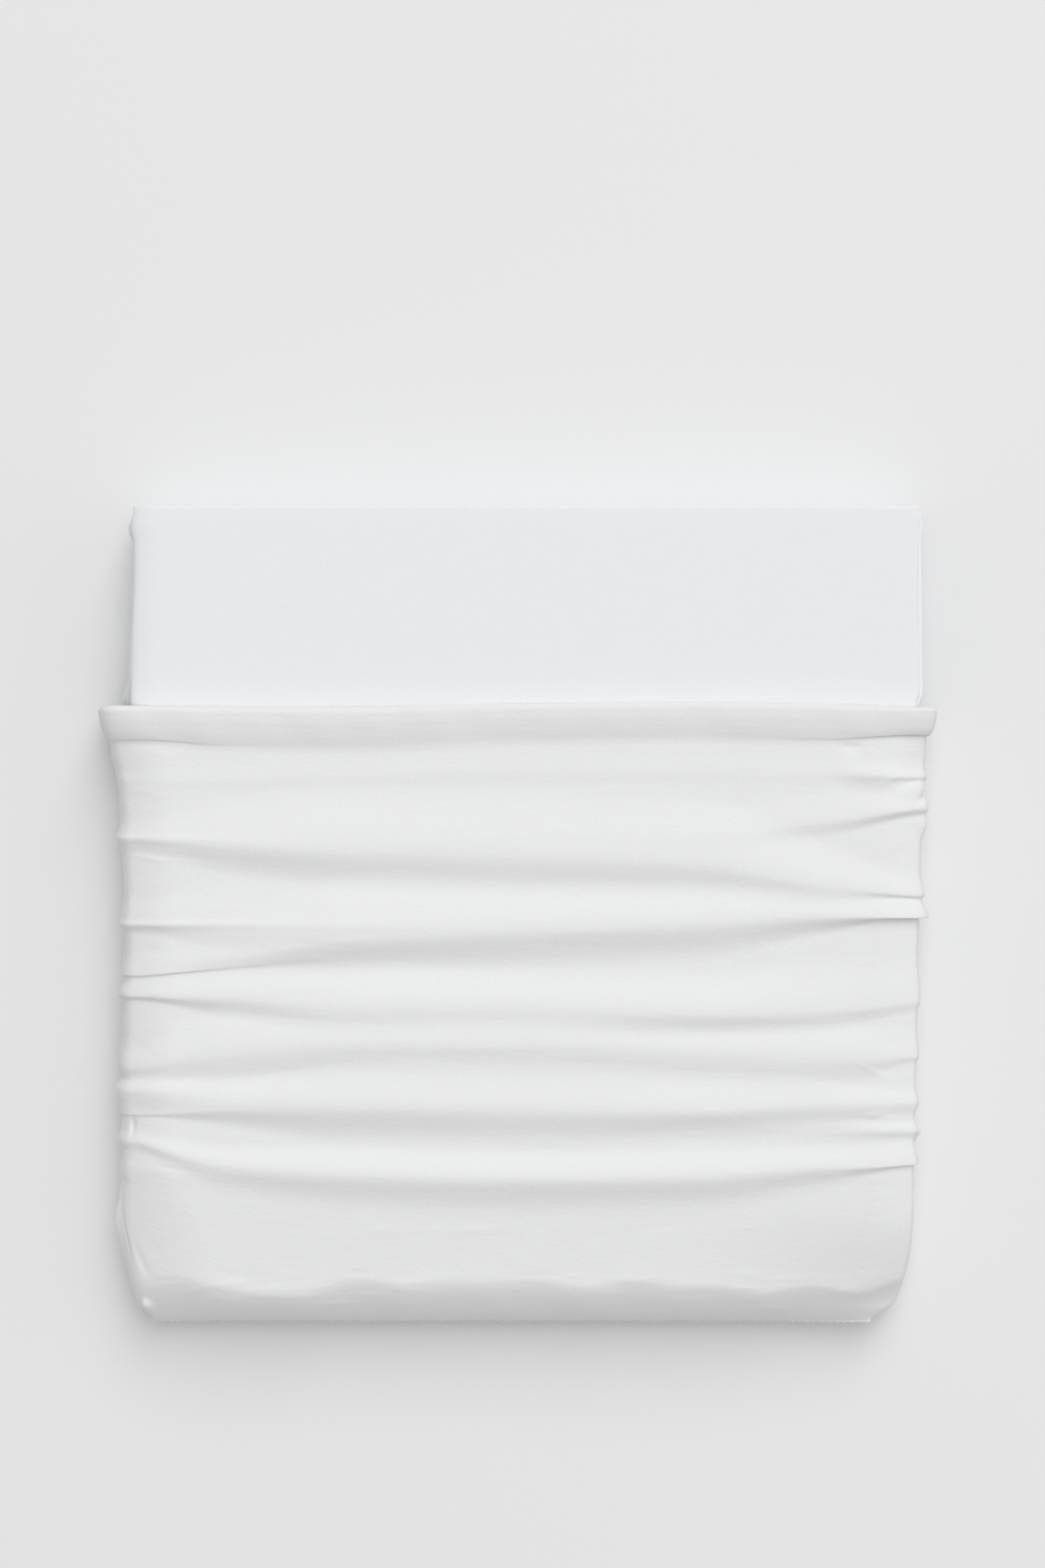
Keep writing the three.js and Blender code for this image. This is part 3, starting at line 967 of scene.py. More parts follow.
    def relief(self, across: Array, y: Array) -> tuple[Array, Array]:
        """Adds up the folds.

        Args:
            across: Places across the pouch.
            y: Places along it.

        Returns:
            How far the cloth is lifted there, and how far it leans towards the sewn end.
        """
        lift = np.zeros(np.broadcast(across, y).shape)
        lean = np.zeros_like(lift)
        for fold, (crest_at, height_at, rise_at, drop_at, lean_at) in zip(FOLDS, self.folds):
            hang = lean_at(across)
            above = y - crest_at(across) - hang
            share = np.clip(np.abs(above) / np.where(above > 0, rise_at(across), drop_at(across)), 0.0, 1.0)
            share = share * (1.0 + np.where(above > 0, 0.0, fold.skew) * (1.0 - share))
            bump = np.cos(share * math.pi / 2.0) ** 2
            lift += height_at(across) * bump
            lean += hang * bump
        for pucker in self.puckers:
            lift += pucker.lift(across, y)
        return lift, lean

    def hem(self, x: Array, y: Array) -> tuple[Array, Array, Array]:
        """Shapes the turned hem.

        Args:
            x: Places across the pouch.
            y: Places along it.

        Returns:
            The hem's thickness there, how far it hangs towards the sewn end, and 1 where it is turned out.
        """
        mouth = self.mouth_at(x)
        share = (mouth - y) / (mouth - self.foot_at(x))
        height, length, along = self.hem_ripple
        uneven = 1.0 + waves(x, *self.hem_waves, (height, length, y / along))
        thickness = self.hem_at(share) * self.hem_full_at(x) * uneven
        hang = self.hem_lean_at(x) * smoothstep(share, *self.hang_shares)
        hang = hang * smoothstep(self.hang_end[0] - share, 0.0, self.hang_end[1])
        return thickness, hang, smoothstep(self.turned_end[0] - share, 0.0, self.turned_end[1])

    def surface(self, half: Array, turn: Array, y: Array, face: Face) -> tuple[Array, Array]:
        """Places points of the pouch.

        Args:
            half: 1 over the sewn edge's height and -1 under it.
            turn: The place round the pouch, as for across.
            y: The place along it.
            face: The outer face or the inner one.

        Returns:
            The points, and 1 where the turned hem shows.
        """
        shape = self.shape
        inset = 0.0 if face is Face.OUTER else shape.cloth
        on_left, on_flat = turn <= 1.0, (turn >= 1.0) & (turn <= 2.0)
        left, right = shape.flat(Side.LEFT, y), shape.flat(Side.RIGHT, y)
        flat_end = np.where(on_left, left, right)
        far = np.where(on_left, shape.reach(Side.LEFT, y) + inset, shape.reach(Side.RIGHT, y) - inset)
        reach = far - flat_end
        angle = math.pi / 2.0 * np.clip(np.minimum(turn, 3.0 - turn), 0.0, 1.0)
        curl, stand = np.cos(angle) ** (2.0 / shape.squareness), np.sin(angle) ** (2.0 / shape.squareness)
        x = np.where(on_flat, lerp(left, right, turn - 1.0), flat_end + reach * curl)
        rise = np.where(on_flat, 1.0, stand)
        seam = shape.seam + self.gather * inset
        start = np.where(half > 0, self.end_at(x) + waves(x, *self.end_waves), self.base_start)
        seam_height = shape.seam_at(x, y)
        height = np.where(half > 0, shape.top - seam_height - shape.sinking(x, y), seam_height)
        power = np.where(half > 0, self.end_shape_at(x), self.base_shape)
        fullness = (1.0 - np.clip((start - y) / (start - seam), 0.0, 1.0) ** power) ** (1.0 / power)
        beyond = np.clip((seam - y) / self.lip_reach, 0.0, 1.0)
        lip = (self.lip if face is Face.OUTER else self.inner_lip) * np.sqrt(1.0 - beyond**2)
        full = np.maximum((height - inset) * fullness, lip)
        towards = np.where(on_flat, 0.0, np.cos(angle) / reach)
        upwards = np.where(on_flat, 1.0, np.sin(angle) / np.maximum(full, self.least_height))
        norm = np.hypot(towards, upwards)

        from_edge = np.minimum(turn, 3.0 - turn)
        kept = np.where(half > 0, 1.0, smoothstep(self.under_sides - from_edge, 0.0, self.under_sides))
        near_seam = smoothstep(y - shape.seam - self.fade_from, 0.0, self.fade_over)
        near_mouth = smoothstep(self.foot_at(x) - y, -self.mouth_fade, self.mouth_fade)
        lift, lean = self.relief(self.across(turn, y), y)
        thickness, hang, turned = self.hem(x, y)
        if face is Face.INNER:
            lift, lean, thickness, hang = lift * self.inner_lift, lean * 0.0, thickness * 0.0, hang * 0.0
        lift = kept * (lift * near_seam * near_mouth + thickness)
        if face is Face.OUTER:
            lift = lift + (half > 0) * self._side_seam(turn, y)
        lean = kept * (lean * near_seam * near_mouth + hang)
        z = seam_height + half * (rise * full + lift * upwards / norm)
        return np.stack([x + lift * towards / norm, y - lean, z], axis=-1), turned * kept

    def _side_seam(self, turn: Array, y: Array) -> Array:
        """Raises the narrow, wavering seam down the pouch's left side.

        Args:
            turn: The place round the pouch, as for across.
            y: The place along it.

        Returns:
            The seam's height there.
        """
        path = self.seam_turn + waves(y, *self.seam_waves)
        ridge = np.exp(-(((turn - path) / self.seam_width) ** 2))
        ends = smoothstep(y - self.shape.seam, *self.seam_start)
        ends = ends * smoothstep(self.hem_foot[0] - y, 0.0, self.seam_end)
        share, length = self.seam_beads
        return self.seam_ridge * ridge * ends * (1.0 - share + share * np.sin(y / length))

    def columns(self) -> tuple[Array, Array]:
        """Lays out the places round the pouch.

        Returns:
            The half and the turn of each column, once round from the left edge over the top.
        """
        left = [self.left_turns, *(np.arange(*span) for span in self.left_spans)]
        steps = np.linspace(0.0, 1.0, self.flat_columns)
        flat = 1.0 + steps - self.flat_bunching * np.sin(math.tau * steps) / math.tau
        top = np.concatenate([*left, flat, np.arange(*self.right_span), self.right_turns])
        sides = np.array(self.base_turns)
        base = np.concatenate([sides, np.linspace(1.0, 2.0, self.base_columns), 3.0 - sides[::-1]])[::-1]
        half = np.concatenate([np.ones(len(top)), -np.ones(len(base))])
        return half, np.concatenate([top, base])

    def rows(self, turn: Array, count: int) -> Array:
        """Spreads the rows of points along the pouch, closer together on folds, on the hem and at the end.

        Args:
            turn: The turn of each column.
            count: The number of rows.

        Returns:
            The places along the pouch, as rows by columns, from the mouth to the sewn end.
        """
        spread = self.spread
        fine = np.linspace(spread.highest, self.shape.seam, spread.samples)[:, None]
        across = self.across(turn, fine * 0.0)
        mouth, foot = self.mouth_at(across), self.foot_at(across)
        density = spread.plain + spread.hem * smoothstep(fine - foot, *spread.hem_foot)
        for crest_at, height_at, _, drop_at, lean_at in self.folds:
            drop = drop_at(across)
            middle = crest_at(across) + lean_at(across) - drop * spread.slope_share
            width = drop * spread.slope_width[0] + spread.slope_width[1]
            weight = np.clip(height_at(across) / spread.full_fold, 0.0, 1.0)
            density = density + weight * spread.fold / width * np.exp(-(((fine - middle) / width) ** 2))
        end = (spread.end_from - fine) / (spread.end_from - self.shape.seam)
        closer = 1.0 / np.sqrt(1.0 - np.clip(end, 0.0, spread.end_limit) ** 2) - spread.end_less
        density = density + spread.end * closer * (fine < spread.end_from)
        density = np.where(fine > mouth, 0.0, density)
        summed = np.cumsum(density[:-1] + density[1:], axis=0)
        total = np.concatenate([np.zeros((1, density.shape[1])), summed])
        wanted = np.linspace(0.0, 1.0, count)
        places = np.empty((count, len(turn)))
        for column in range(len(turn)):
            run = total[:, column] / total[-1, column]
            places[:, column] = np.interp(wanted, run, fine[:, 0])
        places[0] = mouth[0]
        return places

    def build(self) -> bpy.types.Object:
        """Makes the pouch's mesh.

        Returns:
            The pouch: its outer face, the lip of its mouth, its inner face and its sewn end, all one surface.
        """
        half, turn = self.columns()
        lips = self.shape.seam - self.lip_reach * np.array(self.lip_shares)[:, None]
        outer_y = np.concatenate([self.rows(turn, self.outer_rows), np.repeat(lips, len(turn), axis=1)])
        inner_y = self.rows(turn, self.inner_rows)
        inner_share = (inner_y[:1] - inner_y) / (inner_y[:1] - inner_y[-1:])
        inner_mouth = self.mouth_at(self.across(turn, 0.0 * inner_y))
        inner_y = lerp(inner_mouth, self.shape.seam + self.inner_end, inner_share)
        outer, turned_outer = self.surface(half, turn, outer_y, Face.OUTER)
        inner, turned_inner = self.surface(half, turn, inner_y, Face.INNER)
        bulge = np.array([0.0, self.mouth_bulge, 0.0])
        edges = [lerp(outer[:1], inner[:1], share) + bulge for share in self.mouth_shares]
        rings = np.concatenate([outer[::-1], *edges, inner])
        turned = np.concatenate([turned_outer[::-1], *[turned_outer[:1]] * len(edges), turned_inner])
        loft = Loft()
        numbers = loft.grid(rings, self._cloth_map(rings))
        top = int((half > 0).sum())
        for ring in (numbers[0], numbers[-1]):
            upper, lower = ring[:top], np.concatenate([ring[:1], ring[top:][::-1], ring[top - 1 : top]])
            lower_turn = np.concatenate([[0.0], turn[top:][::-1], [3.0]])
            if ring is numbers[0]:
                loft.zip_up(upper, lower, turn[:top], lower_turn)
            else:
                loft.zip_up(lower, upper, lower_turn, turn[:top])
        return loft.piece(self.name, {TURNED: turned.ravel()})

    @staticmethod
    def _cloth_map(rings: Array) -> Array:
        """Measures the cloth.

        Args:
            rings: The rings of points.

        Returns:
            Each point's distance round the pouch and along it, over the cloth.
        """
        round_steps = np.linalg.norm(np.diff(rings, axis=1), axis=-1)
        along_steps = np.linalg.norm(np.diff(rings, axis=0), axis=-1)
        round_run = np.concatenate([np.zeros((len(rings), 1)), np.cumsum(round_steps, axis=1)], axis=1)
        along_run = np.concatenate([np.zeros((1, rings.shape[1])), np.cumsum(along_steps, axis=0)])
        return np.stack([round_run, along_run], axis=-1)

    def seam_line(self, spacing: float = 3.0) -> Array:
        """Follows the edge of the sewn end.

        Args:
            spacing: About how far apart the points are.

        Returns:
            Points along it, from its left corner to its right one.
        """
        turn = np.linspace(*self.sewn_turns, int(self.sewn_length / spacing))
        y = np.full_like(turn, self.shape.seam - self.lip_reach * self.sewn_share)
        points, _ = self.surface(np.ones_like(turn), turn, y, Face.OUTER)
        points[:, 2] = self.shape.seam_at(points[:, 0], points[:, 1])
        return points

    def dress(self, piece: bpy.types.Object) -> None:
        """Args:
            piece: The pouch.
        """
        piece.data.materials.append(POUCH_KNIT.material())
        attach(piece, BODY)
        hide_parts("pouch")


@dataclass(frozen=True)
class Bulge:
    """A soft bulge in the cover's side: its place, how far it reaches out, and half its length and height."""

    side: Side
    y: float
    z: float
    reach: float
    along: float
    up: float


@dataclass
class FoldedCover:
    """The duvet cover: its width folded in six doubled plies, and that strip folded back and forth."""

    shape: PackShape
    pouch: Pouch
    name: str = "folded_cover"
    thickness: float = 7.1
    gap: float = 0.5
    left: tuple[float, float] = (-165.0, -166.6)
    right: tuple[float, float] = (174.2, 175.4)
    turns: Row = (-157.5, 176.5, -158.6, 177.0, -158.2, 177.4, -155.6)
    insets: Row = (0.3, 0.9, 0.4, 0.5, 0.2, 0.3)
    bulges: tuple[Bulge, ...] = (
        Bulge(Side.LEFT, y=168.0, z=37.0, reach=2.4, along=7.0, up=14.0),
        Bulge(Side.RIGHT, y=169.0, z=34.0, reach=1.4, along=6.0, up=13.0),
        Bulge(Side.LEFT, y=92.0, z=18.0, reach=3.4, along=16.0, up=22.0),
        Bulge(Side.LEFT, y=100.0, z=22.0, reach=3.2, along=62.0, up=34.0),
    )
    plies: int = 6
    ply: float = 1.13
    turn_squareness: float = 18.0
    turn_steps: int = 18
    room_under: float = 0.35
    room_over: float = 0.8
    room_sides: float = 1.6
    room_shoulders: float = 1.5
    freed: float = 6.0
    freed_from: float = 91.5
    freed_over: float = 15.0
    spans: tuple[tuple[float, float, int], ...] = ((-146, 78, 13), (82, 89, 4), (90, 95, 8), (96, 166, 24))
    loose_steps: tuple[float, float] = (0.25, 0.7)
    run_step: float = 0.6
    lift_from: float = 126.0
    lift_full: float = 100.0
    swell: float = 1.2
    swell_inside: float = 0.65
    swell_edge: tuple[float, float] = (-1.2, 0.6)
    swell_reach: float = 6.0
    swell_share: float = 0.6
    wander: float = 0.3
    wander_waves: tuple[Row, Row] = ((1.0, 19.0, 2.4, 1.0), (0.5, 7.7, 1.3, 0.0))
    wander_held: float = 0.5
    held_from: float = 100.0
    held_over: float = 12.0
    loose_side: float = 0.4
    sway: float = 0.25
    top_sway: float = 0.08
    sway_waves: tuple[Row, Row] = ((1.0, 31.0, 2.3), (0.6, 13.0, 1.1))
    rounded: tuple[float, float] = (2.6, 0.5)
    rounded_width: tuple[float, float] = (7.0, 3.0)
    run_shares: Row = (0, 0.0025, 0.008, 0.03, 0.1, 0.25, 0.42, 0.58, 0.75, 0.9, 0.97, 0.992, 0.9975, 1)
    loop_steps: int = 6
    loop_squareness: float = 0.5
    flat_size: tuple[float, float] = (2.0, 2.04)

    def section(self) -> tuple[Array, Array, Array, Array]:
        """Draws one layer's section: a ribbon of doubled cloth that runs to and fro.

        Returns:
            For each point of its closed outline, the share of the way across, the distance aside of that, the
            distance up from the layer's middle, and the number of the nearest ply's edge, for its wander.
        """
        pitch = self.thickness / self.plies
        radius = pitch / 2.0
        loop = radius + self.ply / 2.0
        share, aside, up, edge, facing = [], [], [], [], []
        for number in range(self.plies):
            level = (number + 0.5) * pitch - self.thickness / 2.0
            runs = np.array(self.run_shares)
            runs = runs if number % 2 == 0 else runs[::-1]
            share += list(runs)
            aside += list(loop * (1.0 - 2.0 * runs))
            up += [level] * len(runs)
            edge += [number + (0.5 if (run > 0.5) == (number % 2 == 0) else -0.5) for run in runs]
            facing += [(0.0, 1.0 if number % 2 == 0 else -1.0)] * len(runs)
            if number + 1 == self.plies:
                continue
            outward = 1.0 if number % 2 == 0 else -1.0
            for step in range(1, self.loop_steps):
                angle = math.pi * step / self.loop_steps
                bulge = math.sin(angle) ** self.loop_squareness
                climb = math.copysign(abs(math.cos(angle)) ** self.loop_squareness, math.cos(angle))
                share.append(runs[-1])
                aside.append(outward * (radius * bulge - loop))
                up.append(level + radius * (1.0 - climb))
                edge.append(number + 0.5)
                facing.append((-outward * bulge, outward * climb))
        share, aside, up, edge = (np.array(row) for row in (share, aside, up, edge))
        facing = np.array(facing) * self.ply / 2.0
        outline_aside = np.concatenate([aside + facing[:, 0], (aside - facing[:, 0])[::-1]])
        outline_up = np.concatenate([up + facing[:, 1], (up - facing[:, 1])[::-1]])
        both = [np.concatenate([row, row[::-1]]) for row in (share, edge)]
        return both[0], outline_aside, outline_up, both[1]

    def side(self, side: Side, y: Array, z: Array) -> Array:
        """Finds how far the cover reaches.

        Args:
            side: The side.
            y: Places along the pack.
            z: Heights.

        Returns:
            The cover's own soft edge there, or less where the pouch holds it in.
        """
        shape, sign = self.shape, side.value
        flat, edge = self.left if side is Side.LEFT else self.right
        middle = shape.seam_height
        height = np.where(z > middle, shape.top - shape.cloth - middle, middle - shape.cloth)
        share = shape.side_share(np.abs(z - middle) / height)
        free = sign * lerp(flat, edge, share)
        for bulge in self.bulges:
            if bulge.side is side:
                away = np.hypot((y - bulge.y) / bulge.along, (z - bulge.z) / bulge.up)
                free = free + bulge.reach * smoothstep(1.0 - away, 0.0, 1.0)
        held_edge = shape.reach(side, y) - sign * (shape.cloth + self.room_sides)
        freed = smoothstep(y, self.freed_from, self.freed_from + self.freed_over) * self.freed
        held = sign * lerp(shape.flat(side, y), held_edge, share) - self.room_shoulders + freed
        return sign * np.minimum(free, held)

    def stations(self) -> tuple[Array, Array, Array, Array, Array]:
        """Follows the strip from its loose end at the bottom to the one at the top.

        Returns:
            For each station the layer, the place along, the turn's centre height, the turn's angle, or minus
            one where the strip is straight, and the layer's direction.
        """
        room = self.thickness + self.gap / 2.0
        pitch = self.thickness + self.gap
        shared = np.concatenate([np.linspace(*span) for span in self.spans])
        near, far = self.loose_steps
        rows: list[tuple[float, float, float, float, float]] = []
        for layer, to in enumerate(self.turns[1:]):
            start = self.turns[layer]
            outward = 1.0 if to > start else -1.0
            loose = [start, start + outward * near, start + outward * far] if layer == 0 else []
            ends = [to - outward * far, to - outward * near, to] if layer + 2 == len(self.turns) else []
            first, last = start + outward * room, to - outward * room
            step_in = outward * self.run_step
            places = sorted([first, first + step_in, last - step_in, last, *shared])
            places = [place for place in places if min(first, last) <= place <= max(first, last)]
            ordered = [*loose, *(places if outward > 0 else places[::-1]), *ends]
            middle = self.thickness / 2.0 + layer * pitch
            rows += [(layer, place, middle, -1.0, outward) for place in ordered]
            if layer + 2 < len(self.turns):
                centre = middle + pitch / 2.0
                steps = np.arange(1, self.turn_steps) / self.turn_steps
                rows += [(layer + step, last, centre, math.pi * step, outward) for step in steps]
        return tuple(np.array(column) for column in zip(*rows))

    def pile(self) -> float:
        """Returns the height of all the layers before they settle."""
        return len(self.insets) * (self.thickness + self.gap) - self.gap

    def settled(self, x: Array, y: Array, z: Array) -> Array:
        """Lets the cover settle in the pouch.

        Args:
            x: Places across the pack.
            y: Places along it.
            z: Heights in the pile of layers, before that.

        Returns:
            The heights after it.
        """
        shape, pile = self.shape, self.pile()
        top = shape.top - shape.cloth - self.room_over
        lift = (shape.cloth + self.room_under) * smoothstep(-y, -self.lift_from, -self.lift_full)
        past = y - self.pouch.mouth_at(x)
        swell = lerp(self.swell_inside, self.swell, smoothstep(past, *self.swell_edge))
        near_mouth = np.exp(-((past / self.swell_reach) ** 2))
        swell = swell * near_mouth * smoothstep(z, pile * self.swell_share, pile)
        return lift + z * (top - lift - shape.sinking(x, y)) / pile + swell

    def build(self) -> bpy.types.Object:
        """Makes the cover's mesh.

        Returns:
            The cover: one ribbon section swept along the folded strip, closed at its two loose ends.
        """
        share, aside, up, edge = self.section()
        layer, place, middle, angle, outward = (row[:, None] for row in self.stations())
        turning = angle >= 0.0
        radius = (self.thickness + self.gap) / 2.0 - outward * up
        power = 2.0 / self.turn_squareness
        swing = np.where(turning, angle, 0.0)
        reach = np.sin(swing) ** power
        drop = np.sign(np.cos(swing)) * np.abs(np.cos(swing)) ** power
        y = np.where(turning, place + outward * radius * reach, place)
        z = np.where(turning, middle - radius * drop, middle + outward * up)
        below = np.floor(layer).astype(int)
        insets = np.array(self.insets)
        top_layer = len(insets) - 1
        inset = lerp(insets[below], insets[np.minimum(below + 1, top_layer)], layer - below)
        shifts = [
            (high, long, edge * by_edge + layer * by_layer)
            for high, long, by_edge, by_layer in self.wander_waves
        ]
        held = smoothstep(self.held_from - y, 0.0, self.held_over)
        wander = self.wander * waves(y, *shifts) * lerp(1.0, self.wander_held, held)
        loose = np.where((edge < 0.0) | (edge > self.plies - 1.0), self.loose_side, 0.0)
        left = self.side(Side.LEFT, y, z) + inset + loose + wander
        right = self.side(Side.RIGHT, y, z) - inset - loose + wander
        x = lerp(right, left, share) - aside
        by_left = np.clip(1.0 - (x - left) / self.rounded_width[0], 0.0, 1.0)
        by_right = np.clip(1.0 - (right - x) / self.rounded_width[1], 0.0, 1.0)
        bend = (self.rounded[0] * by_left**2 + self.rounded[1] * by_right**2) * (z / self.pile()) ** 2
        sway = np.where(layer < top_layer - 1, self.sway, self.top_sway) * (outward > 0.0)
        swings = [(high, long, layer * by_layer) for high, long, by_layer in self.sway_waves]
        slack = sway * (waves(x, *swings) - sum(wave[0] for wave in self.sway_waves))
        points = np.stack([x, y + slack * reach, self.settled(x, y, z) - bend], axis=-1)
        along = np.cumsum(np.concatenate([[0.0], np.hypot(np.diff(y[:, 0]), np.diff(z[:, 0]))]))
        run = np.cumsum(np.concatenate([[0.0], np.hypot(np.diff(x[0]), np.diff(up))]))
        cloth_map = np.stack(np.broadcast_arrays(run[None, :], along[:, None]), axis=-1)
        loft = Loft()
        numbers = loft.grid(points, cloth_map)
        half = numbers.shape[1] // 2
        for ring, turned in ((numbers[0], False), (numbers[-1], True)):
            rails = np.stack([ring[:half], ring[half:][::-1]])
            loft.bridge(rails if turned else rails[::-1], closed=False)
        return loft.piece(self.name)

    def dress(self, piece: bpy.types.Object) -> None:
        """Args:
            piece: The cover.
        """
        piece.data.materials.append(COVER_KNIT.material())
        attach(piece, BODY)
        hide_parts("cover_stack")


@dataclass
class SeamStitches:
    """The small overedge stitches that close the pouch's sewn end."""

    pouch: Pouch
    name: str = "seam_stitches"
    pitch: float = 3.2
    thread: float = 0.16
    wrap: float = 1.0
    slant: float = 24.0
    loop_sides: int = 12
    thread_sides: int = 5

    def tree(self, material: bpy.types.Material) -> bpy.types.NodeTree:
        """Builds the stitching's node tree.

        Args:
            material: The thread's finish.

        Returns:
            A tree that lays a wrapped thread at every pitch along a line, with named inputs for its sizes.
        """
        tree = bpy.data.node_groups.new("overedge_stitches", "GeometryNodeTree")
        face = tree.interface
        face.new_socket("Geometry", in_out="INPUT", socket_type="NodeSocketGeometry")
        for label in ("Pitch", "Thread Radius", "Wrap Radius", "Slant"):
            face.new_socket(label, in_out="INPUT", socket_type="NodeSocketFloat")
        face.new_socket("Geometry", in_out="OUTPUT", socket_type="NodeSocketGeometry")
        nodes = tree.nodes
        given, result = nodes.new("NodeGroupInput"), nodes.new("NodeGroupOutput")
        line = nodes.new("GeometryNodeMeshToCurve")
        spots = nodes.new("GeometryNodeCurveToPoints")
        spots.mode = "LENGTH"
        loop = nodes.new("GeometryNodeCurvePrimitiveCircle")
        loop.inputs["Resolution"].default_value = self.loop_sides
        thread = nodes.new("GeometryNodeCurvePrimitiveCircle")
        thread.inputs["Resolution"].default_value = self.thread_sides
        stitch = nodes.new("GeometryNodeCurveToMesh")
        smooth = nodes.new("GeometryNodeSetShadeSmooth")
        lean = nodes.new("FunctionNodeRotateRotation")
        lean.rotation_space = "LOCAL"
        tilt = nodes.new("ShaderNodeCombineXYZ")
        to_turn = nodes.new("FunctionNodeEulerToRotation")
        laid = nodes.new("GeometryNodeInstanceOnPoints")
        real = nodes.new("GeometryNodeRealizeInstances")
        finish = nodes.new("GeometryNodeSetMaterial")
        finish.inputs["Material"].default_value = material
        wires = (
            (given, "Geometry", line, "Mesh"),
            (line, "Curve", spots, "Curve"),
            (given, "Pitch", spots, "Length"),
            (given, "Wrap Radius", loop, "Radius"),
            (given, "Thread Radius", thread, "Radius"),
            (loop, "Curve", stitch, "Curve"),
            (thread, "Curve", stitch, "Profile Curve"),
            (stitch, "Mesh", smooth, "Geometry"),
            (given, "Slant", tilt, "X"),
            (tilt, "Vector", to_turn, "Euler"),
            (spots, "Rotation", lean, "Rotation"),
            (to_turn, "Rotation", lean, "Rotate By"),
            (spots, "Points", laid, "Points"),
            (smooth, "Geometry", laid, "Instance"),
            (lean, "Rotation", laid, "Rotation"),
            (laid, "Instances", real, "Geometry"),
            (real, "Geometry", finish, "Geometry"),
            (finish, "Geometry", result, "Geometry"),
        )
        for source, output, target, socket in wires:
            tree.links.new(source.outputs[output], target.inputs[socket])
        return tree

    def build(self) -> bpy.types.Object:
        """Sews the seam.

        Returns:
            The stitches as one plain mesh.
        """
        line = self.pouch.seam_line() * METRES
        mesh = bpy.data.meshes.new("seam_line")
        mesh.from_pydata(line.tolist(), [(i, i + 1) for i in range(len(line) - 1)], [])
        guide = bpy.data.objects.new("seam_line", mesh)
        bpy.context.scene.collection.objects.link(guide)
        material = SEAM_THREAD.material()
        sewing = guide.modifiers.new("sewing", "NODES")
        sewing.node_group = self.tree(material)
        sizes = {
            "Pitch": self.pitch * METRES,
            "Thread Radius": self.thread * METRES,
            "Wrap Radius": self.wrap * METRES,
            "Slant": math.radians(self.slant),
        }
        for item in sewing.node_group.interface.items_tree:
            if item.in_out == "INPUT" and item.name in sizes:
                sewing[item.identifier] = sizes[item.name]
        depsgraph = bpy.context.evaluated_depsgraph_get()
        sewn = bpy.data.meshes.new_from_object(guide.evaluated_get(depsgraph), depsgraph=depsgraph)
        sewn.name = self.name
        bpy.data.objects.remove(guide)
        piece = bpy.data.objects.new(self.name, sewn)
        bpy.context.scene.collection.objects.link(piece)
        LOG.info("%s: %d points, %d faces", self.name, len(sewn.vertices), len(sewn.polygons))
        return piece

    def dress(self, piece: bpy.types.Object) -> None:
        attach(piece, BODY)


@dataclass(frozen=True)
class Lamp:
    """A soft lamp that points at the pack from a height over the floor, turned from straight ahead."""

    name: str
    glow: Glow
    energy: float
    elevation: float
    from_right: float
    softness: float = 30.0
    panel: tuple[float, float] = (5.0, 9.8)
    distance: float = 10.0
    colour: tuple[float, float, float] = (0.992, 1.0, 1.010)

    def hang(self) -> None:
        """Puts the lamp in its place."""
        data = bpy.data.lights.new(self.name, self.glow.value)
        data.energy = self.energy
        data.color = self.colour
        if self.glow is Glow.PANEL:
            data.shape = "RECTANGLE"
            data.size, data.size_y = self.panel
        else:
            data.angle = math.radians(self.softness)
        holder = bpy.data.objects.new(self.name, data)
        turn = Euler((-math.radians(90.0 - self.elevation), 0.0, -math.radians(self.from_right)))
        holder.rotation_euler = turn
        holder.location = turn.to_matrix() @ Vector((0.0, 0.0, self.distance))
        bpy.context.scene.collection.objects.link(holder)


LAMPS = (
    Lamp("window_light", Glow.PANEL, energy=554.0, elevation=56.0, from_right=15.0),
    Lamp("overhead_light", Glow.FAR, energy=0.30, elevation=90.0, from_right=0.0, softness=30.0),
    Lamp("right_light", Glow.FAR, energy=0.18, elevation=25.0, from_right=80.0, softness=50.0),
)


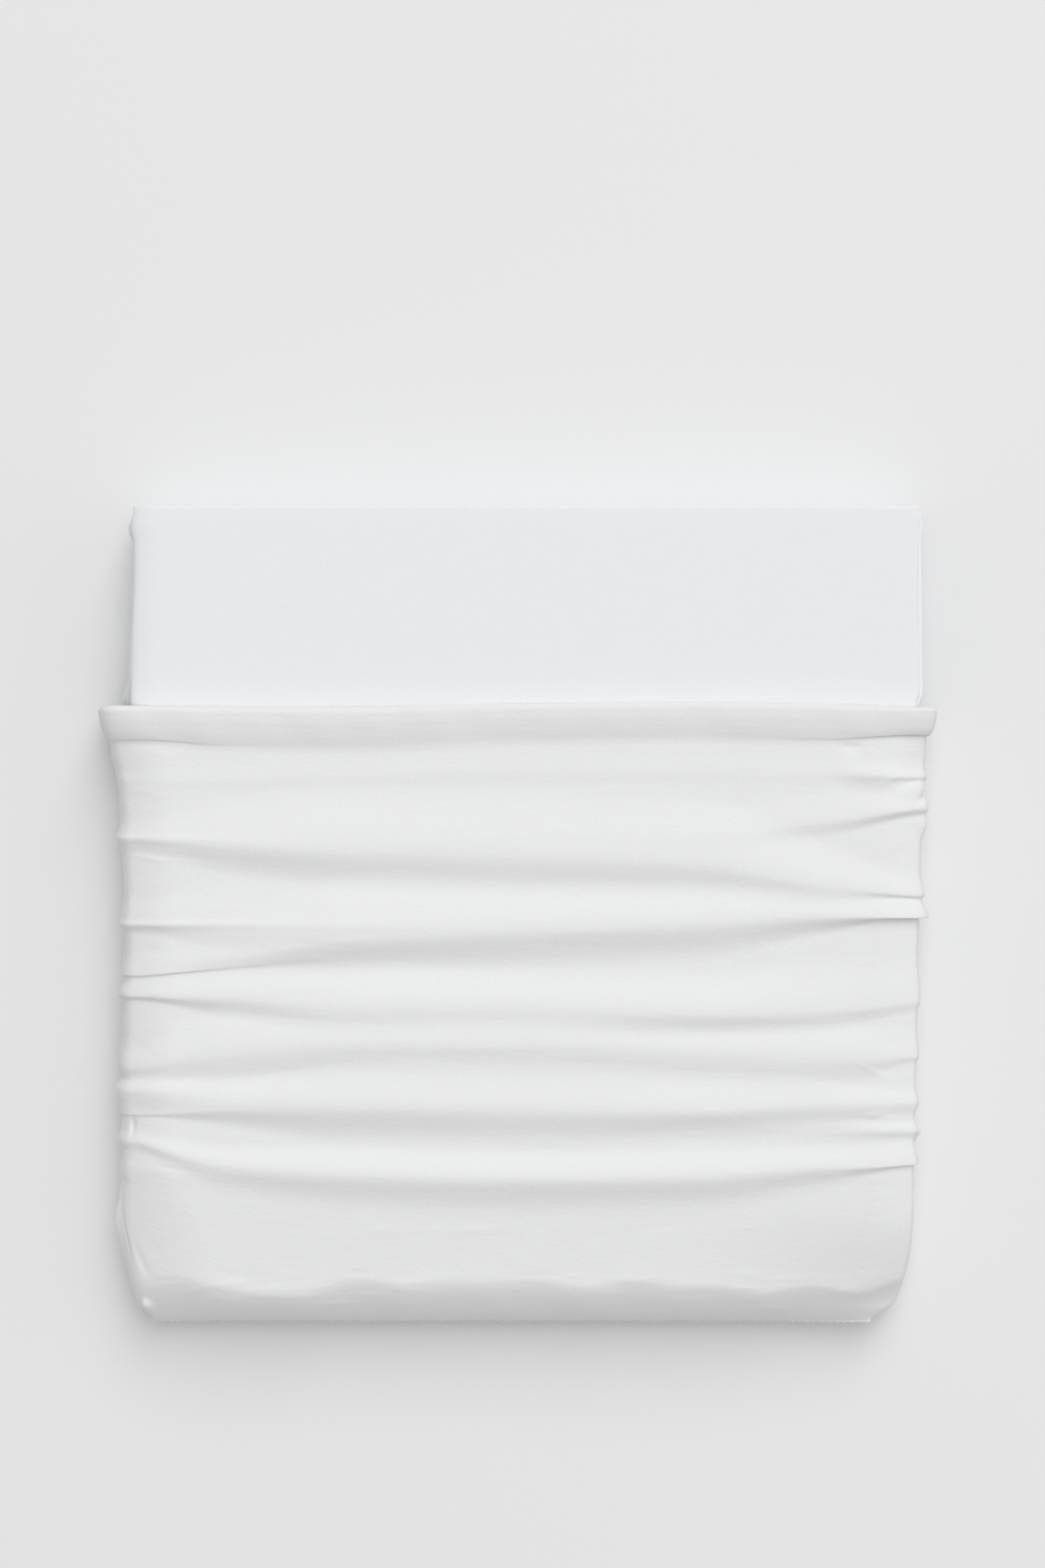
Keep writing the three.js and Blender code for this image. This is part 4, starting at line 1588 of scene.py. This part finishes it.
@dataclass
class Studio:
    """A pale floor under soft light, seen from straight above; painted light makes the floor's colour paler
    towards the right.
    """

    pixel: float = 0.375
    frame_height: int = 1800
    centre: tuple[float, float] = (2.3, 57.4)
    plane: float = 48.8
    distance: float = 1749.2
    sensor: float = 36.0
    floor_size: float = 24.0
    # painted light: the floor's colour runs from darker at the left to paler at the right, as a lamp on the
    # right would light it
    floor_shaded_left: float = 0.786
    floor_lit_right: float = 0.800
    painted_light_span: float = 0.42
    floor_gap: float = 0.05
    around: float = 0.475
    around_colour: tuple[float, float, float, float] = (1.004, 1.0, 0.997, 1.0)
    clip: tuple[float, float] = (0.05, 100.0)

    def build(self) -> None:
        """Lays the floor, hangs the lamps and sets the camera."""
        self._floor()
        self._surroundings()
        for lamp in LAMPS:
            lamp.hang()
        self._camera()
        LOG.info("studio ready")

    def _floor(self) -> None:
        """Lays a large floor a hair under the pack, with painted light in its colour: a little darker at the
        left and paler towards the right.
        """
        half = self.floor_size / 2.0
        mesh = bpy.data.meshes.new("floor")
        level = -self.floor_gap * METRES
        corners = [(-half, -half, level), (half, -half, level), (half, half, level), (-half, half, level)]
        mesh.from_pydata(corners, [], [(0, 1, 2, 3)])
        floor = bpy.data.objects.new("floor", mesh)
        bpy.context.scene.collection.objects.link(floor)
        shader = Shader("studio_floor")
        place = shader.add("ShaderNodeTexCoord", output="Object")
        across = shader.add("ShaderNodeSeparateXYZ", inputs={"Vector": place}, output="X")
        # painted light: the floor's colour is graded across, darker at the left and paler at the right
        painted_light_grade = shader.add(
            "ShaderNodeMapRange",
            {"interpolation_type": "SMOOTHSTEP"},
            {"Value": across, "From Min": -self.painted_light_span, "From Max": self.painted_light_span},
        )
        colour = shader.mix(painted_light_grade, (self.floor_shaded_left,) * 3, (self.floor_lit_right,) * 3)
        matt = {"Base Color": colour, "Roughness": 1.0, "Specular IOR Level": 0.0}
        surface = shader.add("ShaderNodeBsdfPrincipled", inputs=matt)
        mesh.materials.append(shader.finish(surface))

    def _surroundings(self) -> None:
        """Sets a faint even light from all round."""
        world = bpy.data.worlds.new("studio")
        world.use_nodes = True
        background = world.node_tree.nodes["Background"]
        background.inputs["Color"].default_value = self.around_colour
        background.inputs["Strength"].default_value = self.around
        bpy.context.scene.world = world

    def _camera(self) -> None:
        """Hangs the camera over the pack, with the picture's pixel at the height of the pack's top."""
        data = bpy.data.cameras.new("camera")
        data.sensor_width = self.sensor
        data.lens = self.sensor * self.distance / (self.frame_height * self.pixel)
        data.clip_start, data.clip_end = self.clip
        camera = bpy.data.objects.new("camera", data)
        camera.location = Vector((*self.centre, self.plane + self.distance)) * METRES
        bpy.context.scene.collection.objects.link(camera)
        bpy.context.scene.camera = camera
        bpy.context.scene.view_settings.view_transform = "Standard"


def main() -> None:
    """Builds the pieces in order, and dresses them."""
    logging.basicConfig(level=logging.INFO, format="%(name)s: %(message)s")
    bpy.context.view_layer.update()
    shape = PackShape()
    pouch = Pouch(shape)
    cover = FoldedCover(shape, pouch)
    for part in (pouch, cover, SeamStitches(pouch)):
        part.dress(part.build())
    Studio().build()


if __name__ == "__main__":
    main()
